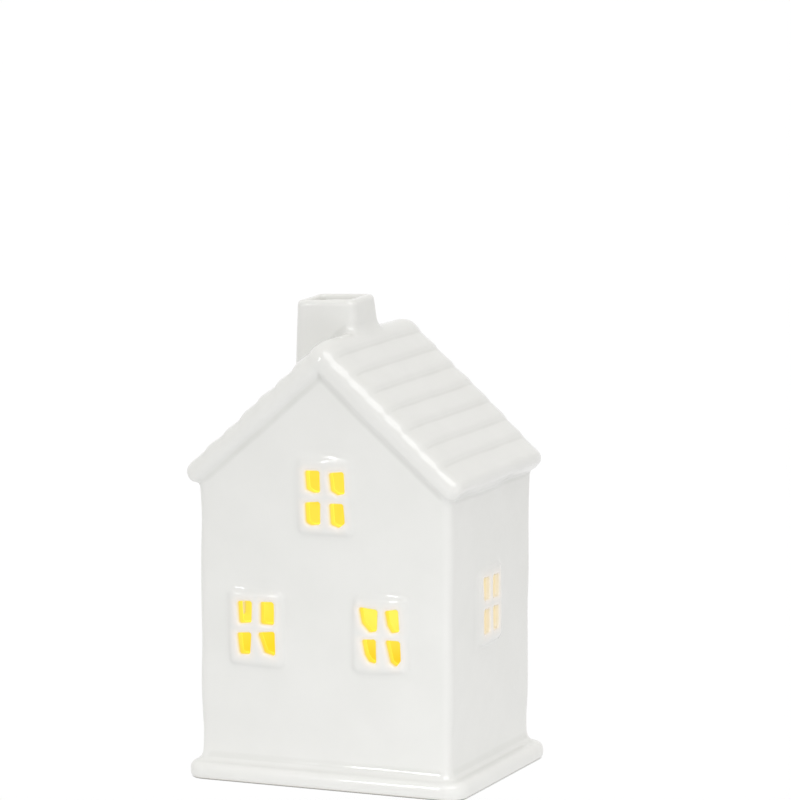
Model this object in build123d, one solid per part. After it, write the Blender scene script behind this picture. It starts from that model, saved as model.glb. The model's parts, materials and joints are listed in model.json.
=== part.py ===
from build123d import *
from math import cos, radians, sin, tan
import os

# Ceramic village house with a battery light unit that plugs into its base.
# Millimetres, +Z up. The origin is the middle of the foot, on the surface the house stands on.
# The front gable faces -Y and the right wall +X.

# House walls
house_width = 85.7
house_depth = 66.6
eave_height = 91.3
roof_pitch = 41.5
wall_thickness = 3.5
wall_corner_radius = 2.5
inner_corner_radius = 1.5

# Plinth: an upright band, a rounded nose and a cove that runs up into the wall
plinth_overhang = 3.6
plinth_band_height = 3.2
plinth_nose_radius = 2.4
plinth_nose_turn = 60.0
plinth_foot_radius = 1.6
floor_thickness = 6.0

# Roof
roof_thickness = 8.4
verge_overhang = 2.3
verge_radius = 3.0
eave_reach = 3.15
course_count = 8
course_step = 0.7
course_lip_radius = 0.4
eave_course_length = 9.2
eave_top_radius = 3.2
eave_bottom_radius = 1.6
ridge_radius = 3.0

# Chimney, given at its top. The left face is upright and the other three slope.
chimney_width = 19.2
chimney_depth = 17.6
chimney_rise = 9.2
chimney_offset = -10.0
chimney_forward = 0.5
chimney_draft = 6.0
chimney_corner_radius = 2.2
chimney_top_radius = 1.2
flue_rim = 2.4
flue_depth = 4.0
flue_corner_radius = 1.2

# Windows: two by two panes in a raised frame
pane_width = 4.3
pane_height = 6.9
pane_corner_radius = 0.7
glazing_bar = 3.4
frame_border = 3.2
frame_relief = 1.4
frame_corner_radius = 2.2
frame_edge_radius = 0.9
front_left_window_x = -23.0
front_left_window_z = 48.7
front_right_window_x = 19.1
front_right_window_z = 49.4
front_upper_window_x = 0.5
front_upper_window_z = 91.6
side_window_y = -1.5
side_window_z = 55.5

# Light unit case: its width and height follow from what it holds
case_length = 48.0
case_corner_radius = 3.5
case_wall = 1.6
case_roof_gap = 0.3
flange_reach = 3.0
plate_thickness = 2.0
plate_lift = 0.5
flange_clearance = 0.4
band_thickness = 0.9
band_clearance = 0.3
band_height = 3.0
notch_radius = 8.0
notch_reach = 5.0
post_diameter = 5.0
post_inset = 2.2

# Screws: the same self-tapping size throughout
screw_head_diameter = 3.6
screw_shank_diameter = 1.6
screw_head_height = 1.0
screw_slot_width = 0.6
screw_slot_depth = 0.5
case_screw_length = 8.0
door_screw_length = 4.5
screw_clearance = 0.05
door_screw_swing_clearance = 0.5

# Button cells and their pocket
cell_diameter = 11.6
cell_thickness = 5.4
cell_count = 3
cell_cap_diameter = 9.2
cell_cap_height = 0.7
cell_edge_radius = 0.4
cell_clearance = 0.3
cell_lift = 0.6
pocket_wall = 1.2
pocket_gap = 1.2
contact_thickness = 0.4
contact_size = 9.0
contact_spring_gap = 1.5
contact_tab_length = 4.0
contact_tab_width = 2.0

# Battery door
door_thickness = 1.7
door_clearance = 0.3
hinge_pin_diameter = 1.0
hinge_pin_length = 1.2
hinge_clearance = 0.05
tab_width = 6.4
boss_width = 5.6
boss_depth = 4.8
boss_height = 5.0

# Circuit board and switch
board_length = 24.0
board_width = 9.0
board_thickness = 1.2
board_margin = 0.9
board_post_diameter = 3.0
board_post_x = 9.4
switch_length = 9.0
switch_width = 4.4
switch_height = 4.5
switch_throw = 3.0
switch_clearance = 0.3
knob_length = 2.6
knob_width = 2.0
knob_lift = 0.3
finger_recess = 1.0
resistor_length = 3.2
resistor_width = 1.6
resistor_height = 0.6

# Light-emitting diodes on their legs
led_x = 6.0
led_diameter = 5.0
led_flange_diameter = 5.8
led_flange_height = 1.0
led_body_height = 6.1
led_rise = 9.0
leg_spacing = 2.54
leg_diameter = 0.5
leg_hole_diameter = 2.2
sleeve_diameter = 1.6
sleeve_gap = 0.05
sleeve_top_gap = 0.8
wire_diameter = 0.8
wire_bend_radius = 2.4
wire_landing = 2.0

# Sizes that follow from the ones above
slope_cos = cos(radians(roof_pitch))
slope_sin = sin(radians(roof_pitch))
slope_tan = tan(radians(roof_pitch))
ridge_underside = eave_height + house_width / 2 * slope_tan
ridge_top = ridge_underside + roof_thickness / slope_cos
roof_top_thickness = roof_thickness + course_step
eave_tip = roof_top_thickness * slope_sin - eave_top_radius * (slope_cos + slope_sin - 1)
slope_length = (house_width / 2 + eave_reach - eave_tip) / slope_cos
verge_y = house_depth / 2 + verge_overhang
chimney_top = ridge_top + chimney_rise

nose_cos = cos(radians(plinth_nose_turn))
nose_sin = sin(radians(plinth_nose_turn))
nose_end = plinth_overhang - plinth_nose_radius * (1 - nose_cos)
cove_radius = nose_end / (1 - nose_cos)
wall_foot = plinth_band_height + (plinth_nose_radius + cove_radius) * nose_sin

frame_width = 2 * pane_width + glazing_bar + 2 * frame_border
frame_height = 2 * pane_height + glazing_bar + 2 * frame_border
pane_step_x = (pane_width + glazing_bar) / 2
pane_step_z = (pane_height + glazing_bar) / 2

stack_length = cell_count * cell_thickness
pocket_length = stack_length + contact_spring_gap + 2 * contact_thickness + cell_clearance / 2
pocket_width = cell_diameter + 2 * cell_clearance
pocket_outer_width = pocket_width + 2 * pocket_wall

case_inner_length = case_length - 2 * case_wall
case_inner_width = board_margin + board_width + pocket_gap + pocket_outer_width + boss_depth + door_clearance
case_width = case_inner_width + 2 * case_wall
flange_length = case_length + 2 * flange_reach
flange_width = case_width + 2 * flange_reach
opening_margin = band_thickness + band_clearance
post_x = case_inner_length / 2 - post_inset
post_y = case_inner_width / 2 - post_inset

board_centre_y = -case_inner_width / 2 + board_margin + board_width / 2
pocket_centre_y = board_centre_y + board_width / 2 + pocket_gap + pocket_outer_width / 2
pocket_front_y = pocket_centre_y - pocket_width / 2
pocket_back_y = pocket_centre_y + pocket_width / 2
boss_start_y = pocket_back_y + pocket_wall
boss_end_y = boss_start_y + boss_depth
door_screw_y = (boss_start_y + boss_end_y) / 2

plate_top = plate_lift + plate_thickness
cell_centre_z = plate_top + cell_lift + cell_diameter / 2
pocket_roof = cell_centre_z + cell_diameter / 2 + cell_clearance
pocket_top = pocket_roof + pocket_wall / 2
case_ceiling = pocket_top + case_roof_gap
case_top = case_ceiling + case_wall
first_cell_x = pocket_length / 2 - contact_thickness - cell_clearance / 4

hinge_radius = door_thickness / 2
hinge_y = pocket_front_y - pocket_wall / 2
hinge_z = plate_lift + hinge_radius
door_end_y = pocket_back_y - door_clearance
tongue_end_y = boss_end_y

board_bottom = plate_top + switch_height
board_top = board_bottom + board_thickness
contact_tab_z = board_top - contact_thickness / 2
switch_slot_length = knob_length + switch_throw + 2 * switch_clearance
switch_slot_width = knob_width + 2 * switch_clearance
switch_slot_depth = switch_height / 2
led_base = case_top + led_rise


on_floor = (Align.CENTER, Align.CENTER, Align.MIN)


def block(length, width, bottom, top):
    """Upright box centred on the origin."""
    return Pos(0, 0, bottom) * Box(length, width, top - bottom, align=on_floor)


def rounded_block(length, width, radius, bottom, top):
    """Upright box with rounded upright corners."""
    return Pos(0, 0, bottom) * extrude(RectangleRounded(length, width, radius), amount=top - bottom)


def peg(diameter, bottom, top):
    """Upright cylinder on the Z axis."""
    return Pos(0, 0, bottom) * Cylinder(diameter / 2, top - bottom, align=on_floor)


def prism_along_y(points, half_length):
    """Solid with an outline in X and Z, drawn out both ways along Y."""
    return extrude(Plane.XZ * make_face(Polyline(*points, close=True)), amount=half_length, both=True)


def wall_plane(side):
    """Outside face of a wall: local X runs across the wall, local Y is up, local Z points out."""
    if side == "front":
        return Plane((0, -house_depth / 2, 0), x_dir=(1, 0, 0), z_dir=(0, -1, 0))
    if side == "right":
        return Plane((house_width / 2, 0, 0), x_dir=(0, 1, 0), z_dir=(1, 0, 0))
    return Plane((-house_width / 2, 0, 0), x_dir=(0, -1, 0), z_dir=(-1, 0, 0))


windows = {
    "window_front_left": ("front", front_left_window_x, front_left_window_z),
    "window_front_right": ("front", front_right_window_x, front_right_window_z),
    "window_front_upper": ("front", front_upper_window_x, front_upper_window_z),
    "window_side_right": ("right", side_window_y, side_window_z),
    "window_side_left": ("left", -side_window_y, side_window_z),
}


def panes():
    """The four panes of one window, about its middle."""
    pane = RectangleRounded(pane_width, pane_height, pane_corner_radius)
    return [
        Pos(across * pane_step_x, up * pane_step_z) * pane
        for across in (-1, 1)
        for up in (-1, 1)
    ]


def make_window(side, across, up):
    """Raised frame and cross bars on the outside of a wall, with a softened outer edge."""
    plane = wall_plane(side)
    outline = RectangleRounded(frame_width, frame_height, frame_corner_radius)
    frame = extrude(plane * Pos(across, up) * outline, amount=frame_relief)
    outer_face = frame.faces().sort_by(Axis(plane.origin, plane.z_dir))[-1]
    frame = fillet(outer_face.edges(), frame_edge_radius)
    for pane in panes():
        frame -= extrude(plane * Pos(across, up) * pane, amount=frame_relief)
    return frame


def gable_prism(lift, half_length):
    """Everything under the roof slopes, with the slopes lifted from the roof's underside by a height."""
    half_width = house_width / 2
    return prism_along_y(
        [
            (-half_width, 0),
            (half_width, 0),
            (half_width, eave_height + lift),
            (0, ridge_underside + lift),
            (-half_width, eave_height + lift),
        ],
        half_length,
    )


def make_wall_shell(roof):
    """Four walls and two gables, cut to fit under the roof, with the pane holes cut through."""
    outside = rounded_block(house_width, house_depth, wall_corner_radius, wall_foot, ridge_top)
    inside = rounded_block(
        house_width - 2 * wall_thickness,
        house_depth - 2 * wall_thickness,
        inner_corner_radius,
        wall_foot,
        ridge_top,
    )
    into_roof = roof_thickness / 2 / slope_cos
    shell = ((outside - inside) & gable_prism(into_roof, house_depth)) - roof
    for side, across, up in windows.values():
        for pane in panes():
            shell -= extrude(wall_plane(side) * Pos(across, up) * pane, amount=-2 * wall_thickness)
    return shell


def slope_point(along, height):
    """Point on the right slope: distance down from the ridge's underside, and height above the underside."""
    x = along * slope_cos + height * slope_sin
    z = ridge_underside - along * slope_sin + height * slope_cos
    return (x, z)


def course_edges():
    """Distances down the slope where the courses begin and end."""
    start = -roof_thickness * slope_tan
    pitch = (slope_length - eave_course_length - start) / (course_count - 1)
    return [start + pitch * course for course in range(course_count)] + [slope_length]


def rolled_slope():
    """Everything on the right of the ridge that lies between the two verges and under their rolled upper edges."""
    reach = roof_thickness * slope_tan + course_step
    down_slope = (slope_cos, 0, -slope_sin)
    ridge = Plane((0, 0, ridge_underside), x_dir=(0, 1, 0), z_dir=down_slope)
    over_courses = roof_top_thickness + course_step / 2
    section = Rectangle(2 * verge_y, 2 * over_courses)
    section = fillet(section.vertices().sort_by(Axis.Y)[-2:], verge_radius)
    slope = extrude(ridge * Pos(0, 0, -reach) * section, amount=reach + slope_length + eave_reach)
    to_the_right = Box(
        2 * house_width, 2 * house_depth, 2 * chimney_top, align=(Align.MIN, Align.CENTER, Align.MIN)
    )
    return slope & to_the_right


def make_roof():
    """Two thick slopes. Each course rises towards its lower edge and laps over the next one."""
    edges = course_edges()
    right = []
    lips = []
    for upper, lower in zip(edges, edges[1:]):
        right.append(slope_point(upper, roof_thickness))
        right.append(slope_point(lower, roof_top_thickness))
        lips.append(slope_point(lower, roof_top_thickness))
    eave_top = lips.pop()
    eave_bottom = slope_point(slope_length, 0)
    right.append(eave_bottom)
    left = [(-x, z) for x, z in reversed(right[1:])]
    roof = prism_along_y(right + [(0, ridge_underside)] + left, verge_y)

    def along_y_at(solid, point):
        x, z = point
        return solid.edges().filter_by(Axis.Y).sort_by_distance((x, 0, z))[0]

    rounds = [(right[0], ridge_radius)]
    for x_sign in (-1, 1):
        rounds.append(((x_sign * eave_top[0], eave_top[1]), eave_top_radius))
        rounds.append(((x_sign * eave_bottom[0], eave_bottom[1]), eave_bottom_radius))
        rounds += [((x_sign * x, z), course_lip_radius) for x, z in lips]
    for point, radius in rounds:
        roof = fillet(along_y_at(roof, point), radius)
    half = roof & rolled_slope()
    return half + mirror(half, about=Plane.YZ)


def make_chimney(roof):
    """Tapered stack with a sunk flue, cut to stand on the roof's left slope."""
    root = eave_height + (ridge_underside - eave_height) / 2
    spread = (chimney_top - root) * tan(radians(chimney_draft))
    head = RectangleRounded(chimney_width, chimney_depth, chimney_corner_radius)
    foot = RectangleRounded(chimney_width + spread, chimney_depth + 2 * spread, chimney_corner_radius + spread / 2)
    stack = loft(
        [
            Pos(chimney_offset + spread / 2, -chimney_forward, root) * foot,
            Pos(chimney_offset, -chimney_forward, chimney_top) * head,
        ],
        ruled=True,
    )
    stack = fillet(stack.faces().sort_by(Axis.Z)[-1].edges(), chimney_top_radius)
    stack -= Pos(chimney_offset, -chimney_forward, 0) * rounded_block(
        chimney_width - 2 * flue_rim,
        chimney_depth - 2 * flue_rim,
        flue_corner_radius,
        chimney_top - flue_depth,
        chimney_top,
    )
    above_roof = stack - roof - gable_prism(0, house_depth)
    return above_roof.solids().sort_by(SortBy.VOLUME)[-1]


def plinth_profile():
    """Section of the plinth outside the wall line, drawn in by the wall's corner radius."""
    inner = -wall_corner_radius
    foot_start = plinth_overhang - plinth_foot_radius
    outline = [
        Line((inner, 0), (foot_start, 0)),
        CenterArc((foot_start, plinth_foot_radius), plinth_foot_radius, -90, 90),
        Line((plinth_overhang, plinth_foot_radius), (plinth_overhang, plinth_band_height)),
        CenterArc(
            (plinth_overhang - plinth_nose_radius, plinth_band_height),
            plinth_nose_radius,
            0,
            plinth_nose_turn,
        ),
        CenterArc((cove_radius, wall_foot), cove_radius, 180 + plinth_nose_turn, -plinth_nose_turn),
        Line((0, wall_foot), (inner, wall_foot)),
        Line((inner, wall_foot), (inner, 0)),
    ]
    return make_face(outline)


def make_base_plinth():
    """Floor with the plinth round it. Underneath, a seat for the light unit and two finger notches."""
    profile = plinth_profile()
    straight_x = house_width / 2 - wall_corner_radius
    straight_y = house_depth / 2 - wall_corner_radius
    upright = Plane((0, 0, 0), x_dir=(1, 0, 0), z_dir=(0, -1, 0))
    base = block(2 * straight_x, 2 * straight_y, 0, wall_foot)
    for turn, reach, half_length in (
        (0, house_width / 2, straight_y),
        (90, house_depth / 2, straight_x),
        (180, house_width / 2, straight_y),
        (270, house_depth / 2, straight_x),
    ):
        base += Rot(0, 0, turn) * extrude(upright * Pos(reach, 0) * profile, amount=half_length, both=True)
    corner = revolve(upright * Pos(wall_corner_radius, 0) * profile, Axis.Z)
    for x_sign in (-1, 1):
        for y_sign in (-1, 1):
            base += Pos(x_sign * straight_x, y_sign * straight_y, 0) * corner
    base -= rounded_block(
        house_width - 2 * wall_thickness,
        house_depth - 2 * wall_thickness,
        inner_corner_radius,
        floor_thickness,
        wall_foot,
    )
    base -= rounded_block(
        case_length + 2 * opening_margin,
        case_width + 2 * opening_margin,
        case_corner_radius + opening_margin,
        0,
        floor_thickness,
    )
    base -= rounded_block(
        flange_length + 2 * flange_clearance,
        flange_width + 2 * flange_clearance,
        case_corner_radius + flange_reach + flange_clearance,
        0,
        plate_top,
    )
    notch_x = flange_length / 2 + notch_reach - notch_radius
    for x_sign in (-1, 1):
        base -= Pos(x_sign * notch_x, 0, 0) * peg(2 * notch_radius, 0, plate_top)
    return base


def make_screw(length, head_bottom, grow=0.0):
    """Countersunk screw pointing up, or with grow the space that it needs."""
    head = screw_head_diameter / 2 + grow
    shank = screw_shank_diameter / 2 + grow
    tip = head_bottom + length
    section = make_face(
        Polyline(
            (0, head_bottom),
            (head, head_bottom),
            (shank, head_bottom + screw_head_height),
            (shank, tip - shank / 2),
            (shank / 2, tip + grow),
            (0, tip + grow),
            close=True,
        )
    )
    screw = revolve(Plane.XZ * section, Axis.Z)
    if grow:
        return screw
    return screw - block(screw_head_diameter, screw_slot_width, head_bottom, head_bottom + screw_slot_depth)


def at_posts(solid):
    """The solid, repeated at the case's four screw posts."""
    return [Pos(x, y, 0) * solid for x in (-post_x, post_x) for y in (-post_y, post_y)]


def leg_places():
    """Where the legs of the two diodes stand."""
    return [
        (side * led_x + leg * leg_spacing / 2, board_centre_y)
        for side in (-1, 1)
        for leg in (-1, 1)
    ]


def make_case_body():
    """Box that is open below, with four screw posts and holes in its top for the legs."""
    body = rounded_block(case_length, case_width, case_corner_radius, plate_top, case_top)
    inner_radius = case_corner_radius - case_wall
    body -= rounded_block(case_inner_length, case_inner_width, inner_radius, plate_top, case_ceiling)
    for post in at_posts(peg(post_diameter, plate_top, case_top - case_wall / 2)):
        body += post
    for hole in at_posts(make_screw(case_screw_length, plate_lift, screw_clearance)):
        body -= hole
    for x, y in leg_places():
        body -= Pos(x, y, 0) * peg(leg_hole_diameter, case_ceiling, case_top)
    return body


def make_case_floor():
    """Bottom plate with the cell pocket, the door's opening and hinge holes, a screw boss and board posts."""
    plate = rounded_block(
        flange_length,
        flange_width,
        case_corner_radius + flange_reach,
        plate_lift,
        plate_top,
    )
    pocket = block(pocket_length + 2 * pocket_wall, pocket_outer_width, plate_top, pocket_top)
    boss = block(boss_width, boss_depth, plate_top, plate_top + boss_height)
    board_post = peg(board_post_diameter, plate_top, board_bottom)
    floor = plate + Pos(0, pocket_centre_y, 0) * pocket + Pos(0, door_screw_y, 0) * boss
    for x_sign in (-1, 1):
        floor += Pos(x_sign * board_post_x, board_centre_y, 0) * board_post

    floor -= Pos(0, pocket_centre_y, 0) * block(pocket_length, pocket_width, plate_lift, pocket_roof)
    opening_start = hinge_y - hinge_radius - door_clearance
    opening_depth = pocket_back_y - opening_start
    opening = block(pocket_length, opening_depth, plate_lift, plate_top)
    floor -= Pos(0, opening_start + opening_depth / 2, 0) * opening
    tongue_gap_depth = tongue_end_y + door_clearance - pocket_centre_y
    tongue_gap = block(tab_width + 2 * door_clearance, tongue_gap_depth, plate_lift, plate_top)
    floor -= Pos(0, pocket_centre_y + tongue_gap_depth / 2, 0) * tongue_gap
    bore_length = pocket_length + 2 * (hinge_pin_length + hinge_clearance)
    bore = Cylinder(hinge_pin_diameter / 2 + hinge_clearance, bore_length, rotation=(0, 90, 0))
    floor -= Pos(0, hinge_y, hinge_z) * bore
    boss_hole = screw_shank_diameter + 2 * door_screw_swing_clearance
    floor -= Pos(0, door_screw_y, 0) * peg(boss_hole, plate_top, plate_top + boss_height)
    tab_slot = Box(
        pocket_length + 4 * pocket_wall,
        contact_tab_width + 2 * screw_clearance,
        contact_thickness + 2 * screw_clearance,
    )
    floor -= Pos(0, pocket_centre_y, contact_tab_z) * tab_slot
    slot = block(switch_slot_length, switch_slot_width, plate_lift, plate_top)
    recess_length = switch_slot_length + 2 * finger_recess
    recess_width = switch_slot_width + 2 * finger_recess
    recess = block(recess_length, recess_width, plate_lift, plate_lift + finger_recess)
    floor -= Pos(0, board_centre_y, 0) * (slot + recess)
    for hole in at_posts(make_screw(case_screw_length, plate_lift, screw_clearance)):
        floor -= hole
    return floor


def make_grip_band():
    """Soft band round the case, inside the plinth's opening."""
    band_top = plate_top + band_height
    outside = rounded_block(
        case_length + 2 * band_thickness,
        case_width + 2 * band_thickness,
        case_corner_radius + band_thickness,
        plate_top,
        band_top,
    )
    return outside - rounded_block(case_length, case_width, case_corner_radius, plate_top, band_top)


def make_battery_door():
    """Cover of the cell pocket: a rounded hinge edge with two pegs, and a tongue for the screw."""
    half_length = pocket_length / 2 - door_clearance
    door_top = plate_lift + door_thickness
    panel_depth = door_end_y - hinge_y
    door = Pos(0, hinge_y + panel_depth / 2, 0) * block(2 * half_length, panel_depth, plate_lift, door_top)
    door += Pos(0, hinge_y, hinge_z) * Cylinder(hinge_radius, 2 * half_length, rotation=(0, 90, 0))
    peg_length = 2 * (pocket_length / 2 + hinge_pin_length)
    door += Pos(0, hinge_y, hinge_z) * Cylinder(hinge_pin_diameter / 2, peg_length, rotation=(0, 90, 0))
    tongue_depth = tongue_end_y - pocket_centre_y
    door += Pos(0, pocket_centre_y + tongue_depth / 2, 0) * block(tab_width, tongue_depth, plate_lift, door_top)
    return door - Pos(0, door_screw_y, 0) * make_screw(door_screw_length, plate_lift, screw_clearance)


def make_button_cell(place):
    """Coin-shaped cell lying with its axis along X. Its small cap points to the negative end."""
    radius = cell_diameter / 2
    can_height = cell_thickness - cell_cap_height
    can = fillet(Cylinder(radius, can_height).edges(), cell_edge_radius)
    cap = Pos(0, 0, -cell_thickness / 2) * Cylinder(cell_cap_diameter / 2, cell_cap_height)
    middle = first_cell_x - place * cell_thickness - can_height / 2
    return Pos(middle, pocket_centre_y, cell_centre_z) * Rot(0, 90, 0) * (can + cap)


def make_contact(sign):
    """Contact plate against an end of the pocket, with a solder tab through the pocket's wall."""
    wall_x = sign * pocket_length / 2
    plate_x = wall_x - sign * contact_thickness / 2
    tab_x = wall_x + sign * (contact_tab_length / 2 - contact_thickness)
    plate = Pos(plate_x, 0, cell_centre_z) * Box(contact_thickness, contact_size, contact_size)
    tab = Pos(tab_x, 0, contact_tab_z) * Box(contact_tab_length, contact_tab_width, contact_thickness)
    return Pos(0, pocket_centre_y, 0) * (plate + tab)


def make_negative_contact():
    """The plate at the negative end carries a bowed leaf that presses on the last cell."""
    plate_face = -pocket_length / 2 + contact_thickness
    bow = contact_spring_gap
    outer_half = contact_size / 2
    inner_half = outer_half - contact_thickness
    outline = make_face(
        [
            ThreePointArc((0, -outer_half), (bow, 0), (0, outer_half)),
            Line((0, outer_half), (0, inner_half)),
            ThreePointArc((0, inner_half), (bow - contact_thickness, 0), (0, -inner_half)),
            Line((0, -inner_half), (0, -outer_half)),
        ]
    )
    leaf = extrude(Plane.XZ * outline, amount=contact_size / 3, both=True)
    return make_contact(-1) + Pos(plate_face, pocket_centre_y, cell_centre_z) * leaf


def make_circuit_board():
    """Plain board on its two posts, with holes for the legs."""
    board = Pos(0, board_centre_y, 0) * block(board_length, board_width, board_bottom, board_top)
    for x, y in leg_places():
        board -= Pos(x, y, 0) * peg(leg_diameter, board_bottom, board_top)
    return board


def make_switch_body():
    """Slide switch under the board, with a slot for its slider."""
    body = Pos(0, board_centre_y, 0) * block(switch_length, switch_width, plate_top, board_bottom)
    slot = block(switch_slot_length, switch_slot_width, plate_top, plate_top + switch_slot_depth)
    return body - Pos(0, board_centre_y, 0) * slot


def make_switch_slider():
    """Knob in the plate's slot, shown switched on at the left end of its throw."""
    top = plate_top + switch_slot_depth - switch_clearance
    knob = block(knob_length, knob_width, plate_lift + knob_lift, top)
    return Pos(-switch_throw / 2, board_centre_y, 0) * knob


def make_resistor():
    """Chip resistor on top of the board."""
    chip = block(resistor_length, resistor_width, board_top, board_top + resistor_height)
    return Pos(0, board_centre_y, 0) * chip


def make_led(side):
    """Round diode with a flange below and a dome on top."""
    flange_top = led_base + led_flange_height
    body_top = flange_top + led_body_height
    led = peg(led_flange_diameter, led_base, flange_top) + peg(led_diameter, flange_top, body_top)
    dome = Pos(0, 0, body_top) * Sphere(led_diameter / 2)
    return Pos(side * led_x, board_centre_y, 0) * (led + dome)


def make_legs():
    """Wire legs from the board's underside up to the diodes."""
    leg = peg(leg_diameter, board_bottom, led_base)
    return [Pos(x, y, 0) * leg for x, y in leg_places()]


def make_sleeves():
    """Dark sleeves on the legs, from the holes in the case up to the diodes."""
    sleeve_top = led_base - sleeve_top_gap
    sleeve = peg(sleeve_diameter, case_ceiling, sleeve_top)
    sleeve -= peg(leg_diameter + 2 * sleeve_gap, case_ceiling, sleeve_top)
    return [Pos(x, y, 0) * sleeve for x, y in leg_places()]


def make_wire(sign):
    """Wire that lies on a contact's tab, turns round past the pocket and ends flat on the board."""
    level = board_top + wire_diameter / 2
    tab_root = pocket_length / 2 + pocket_wall + wire_diameter / 4
    tab_end = pocket_length / 2 - contact_thickness + contact_tab_length
    turn_x = tab_end + wire_bend_radius
    landing_x = board_length / 2 - wire_landing
    start = (sign * tab_root, pocket_centre_y, level)
    route = FilletPolyline(
        start,
        (sign * turn_x, pocket_centre_y, level),
        (sign * turn_x, board_centre_y, level),
        (sign * landing_x, board_centre_y, level),
        radius=wire_bend_radius,
    )
    section = Plane(start, z_dir=(sign, 0, 0)) * Circle(wire_diameter / 2)
    return sweep(section, path=route)


def make_parts():
    """Every node of the part by name."""
    roof = make_roof()
    parts = {
        "wall_shell": make_wall_shell(roof),
        "base_plinth": make_base_plinth(),
        "roof": roof,
        "chimney": make_chimney(roof),
        "case_body": make_case_body(),
        "case_floor": make_case_floor(),
        "case_screws": Compound(at_posts(make_screw(case_screw_length, plate_lift))),
        "grip_band": make_grip_band(),
        "circuit_board": make_circuit_board(),
        "resistor": make_resistor(),
        "switch_body": make_switch_body(),
        "switch_slider": make_switch_slider(),
        "battery_door": make_battery_door(),
        "door_screw": Pos(0, door_screw_y, 0) * make_screw(door_screw_length, plate_lift),
        "positive_contact": make_contact(1),
        "negative_contact": make_negative_contact(),
        "led_left": make_led(-1),
        "led_right": make_led(1),
        "led_leads": Compound(make_legs()),
        "lead_sleeves": Compound(make_sleeves()),
        "red_wire": make_wire(1),
        "black_wire": make_wire(-1),
    }
    for name, (side, across, up) in windows.items():
        parts[name] = make_window(side, across, up)
    for place in range(cell_count):
        parts[f"button_cell_{place + 1}"] = make_button_cell(place)
    return parts


os.makedirs("parts", exist_ok=True)
for name, part in make_parts().items():
    export_step(part, f"parts/{name}.step")
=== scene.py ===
import json
import math

import bpy
import numpy as np
import openvdb
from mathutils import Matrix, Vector


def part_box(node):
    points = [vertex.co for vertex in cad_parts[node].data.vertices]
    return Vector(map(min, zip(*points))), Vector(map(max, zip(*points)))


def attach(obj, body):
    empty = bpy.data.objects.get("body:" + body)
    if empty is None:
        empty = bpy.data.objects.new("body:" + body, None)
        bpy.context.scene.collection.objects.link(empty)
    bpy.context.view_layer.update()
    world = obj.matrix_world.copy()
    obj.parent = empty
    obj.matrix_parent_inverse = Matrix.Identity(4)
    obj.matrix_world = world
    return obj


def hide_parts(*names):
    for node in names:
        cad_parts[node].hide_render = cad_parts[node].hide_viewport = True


bl_info = {
    "name": "Glazed Village House",
    "version": (1, 0, 0),
    "blender": (4, 5, 0),
    "location": "3D View > Sidebar > Village House",
    "description": "Dresses the packed village house: glazed ceramic, warm panes, light unit and studio",
    "category": "Object",
}

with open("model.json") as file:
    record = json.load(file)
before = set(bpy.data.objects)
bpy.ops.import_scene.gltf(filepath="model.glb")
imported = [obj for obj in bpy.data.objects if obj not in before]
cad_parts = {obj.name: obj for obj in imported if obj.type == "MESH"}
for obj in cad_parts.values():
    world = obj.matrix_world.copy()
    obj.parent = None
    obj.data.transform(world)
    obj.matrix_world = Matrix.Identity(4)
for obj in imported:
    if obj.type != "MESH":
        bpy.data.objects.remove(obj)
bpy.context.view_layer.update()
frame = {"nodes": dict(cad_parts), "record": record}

MM = 0.001
FRONT, RIGHT, LEFT = "front", "right", "left"
CERAMIC_BODY = "house"
CERAMIC_SLOT = "white_glaze"
WHITE, BLACK = (1.0, 1.0, 1.0, 1.0), (0.0, 0.0, 0.0, 1.0)

# Fields and meshes, in millimetres. A glazed piece runs on under its neighbour this far, and dips there at
# this slope, so that no two faces coincide.
TUCK_REACH = 1.5
TUCK_SLOPE = 0.3
# Room round a piece in its own mesh, and in the fields that it takes part in.
MESH_MARGIN = TUCK_REACH + 0.5
FIELD_MARGIN = 4.0
# Samples to spare on each side of a grid, and depth of the band round a surface in samples.
SPARE_SAMPLES = 3
BAND_SAMPLES = 4
# Least distance over which the slope and bend of a surface are taken.
LEAST_REACH = 0.8
# Blend of the walls' field, the first one, with the empty space round it.
EMPTY_BLEND = 1.0
# The plinth's section: where its block ends inside, points on foot and nose, and the table it is read from.
BLOCK_INNER_END = -80.0
FOOT_POINTS, NOSE_POINTS = 9, 13
SECTION_START, SECTION_END, SECTION_STEP = -48.0, 12.0, 0.05
# How far the chimney is let into the roof.
CHIMNEY_ROOT = 3.0

# Unevenness, in millimetres. A wave has its length along x, y and z, its phase and its weight. The length is
# that of a whole turn in the cast surface, and of one radian in the glaze and, across and up, on a frame.
CAST_WAVES = (
    (31, 47, 38, 0.3, 1.0),
    (-52, 29, 64, 1.9, 0.8),
    (23, -61, 45, 4.1, 0.6),
    (17, 19, -21, 2.7, 0.35),
)
GLAZE_WAVES = (
    (1.4, math.inf, 2.3, 1.0, 1.0),
    (math.inf, 1.6, -1.9, 0.0, 1.0),
    (2.9, -2.2, 3.1, 0.0, 1.0),
)
FRAME_WAVES = ((1.3, 2.1), (-1.7, 0.9))
# Heights between which the unevenness sets in above the true base.
TRUE_UP_TO, UNEVEN_FROM = 3.0, 22.0

# Marks on the clay, in millimetres, among them painted glow that stands in for the diodes' light. Share of
# the edge glow that panes in the side walls show, because the diodes face the gables.
SIDE_GLOW = 0.13
# Share of a cut edge's depth, from inside, that glows in full, and how far from the pane the glow reaches.
EDGE_GLOW_DEPTH = 0.45
EDGE_GLOW_REACH = 0.5
# Depth of the clay that glows in full at the inner face, and depth at the outer face that doesn't glow.
LIT_DEPTH, UNLIT_DEPTH = 0.1, 0.9
# Heights between which the foot's bare ring gives way to glaze.
BARE_UP_TO, GLAZED_FROM = 0.1, 0.5
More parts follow.
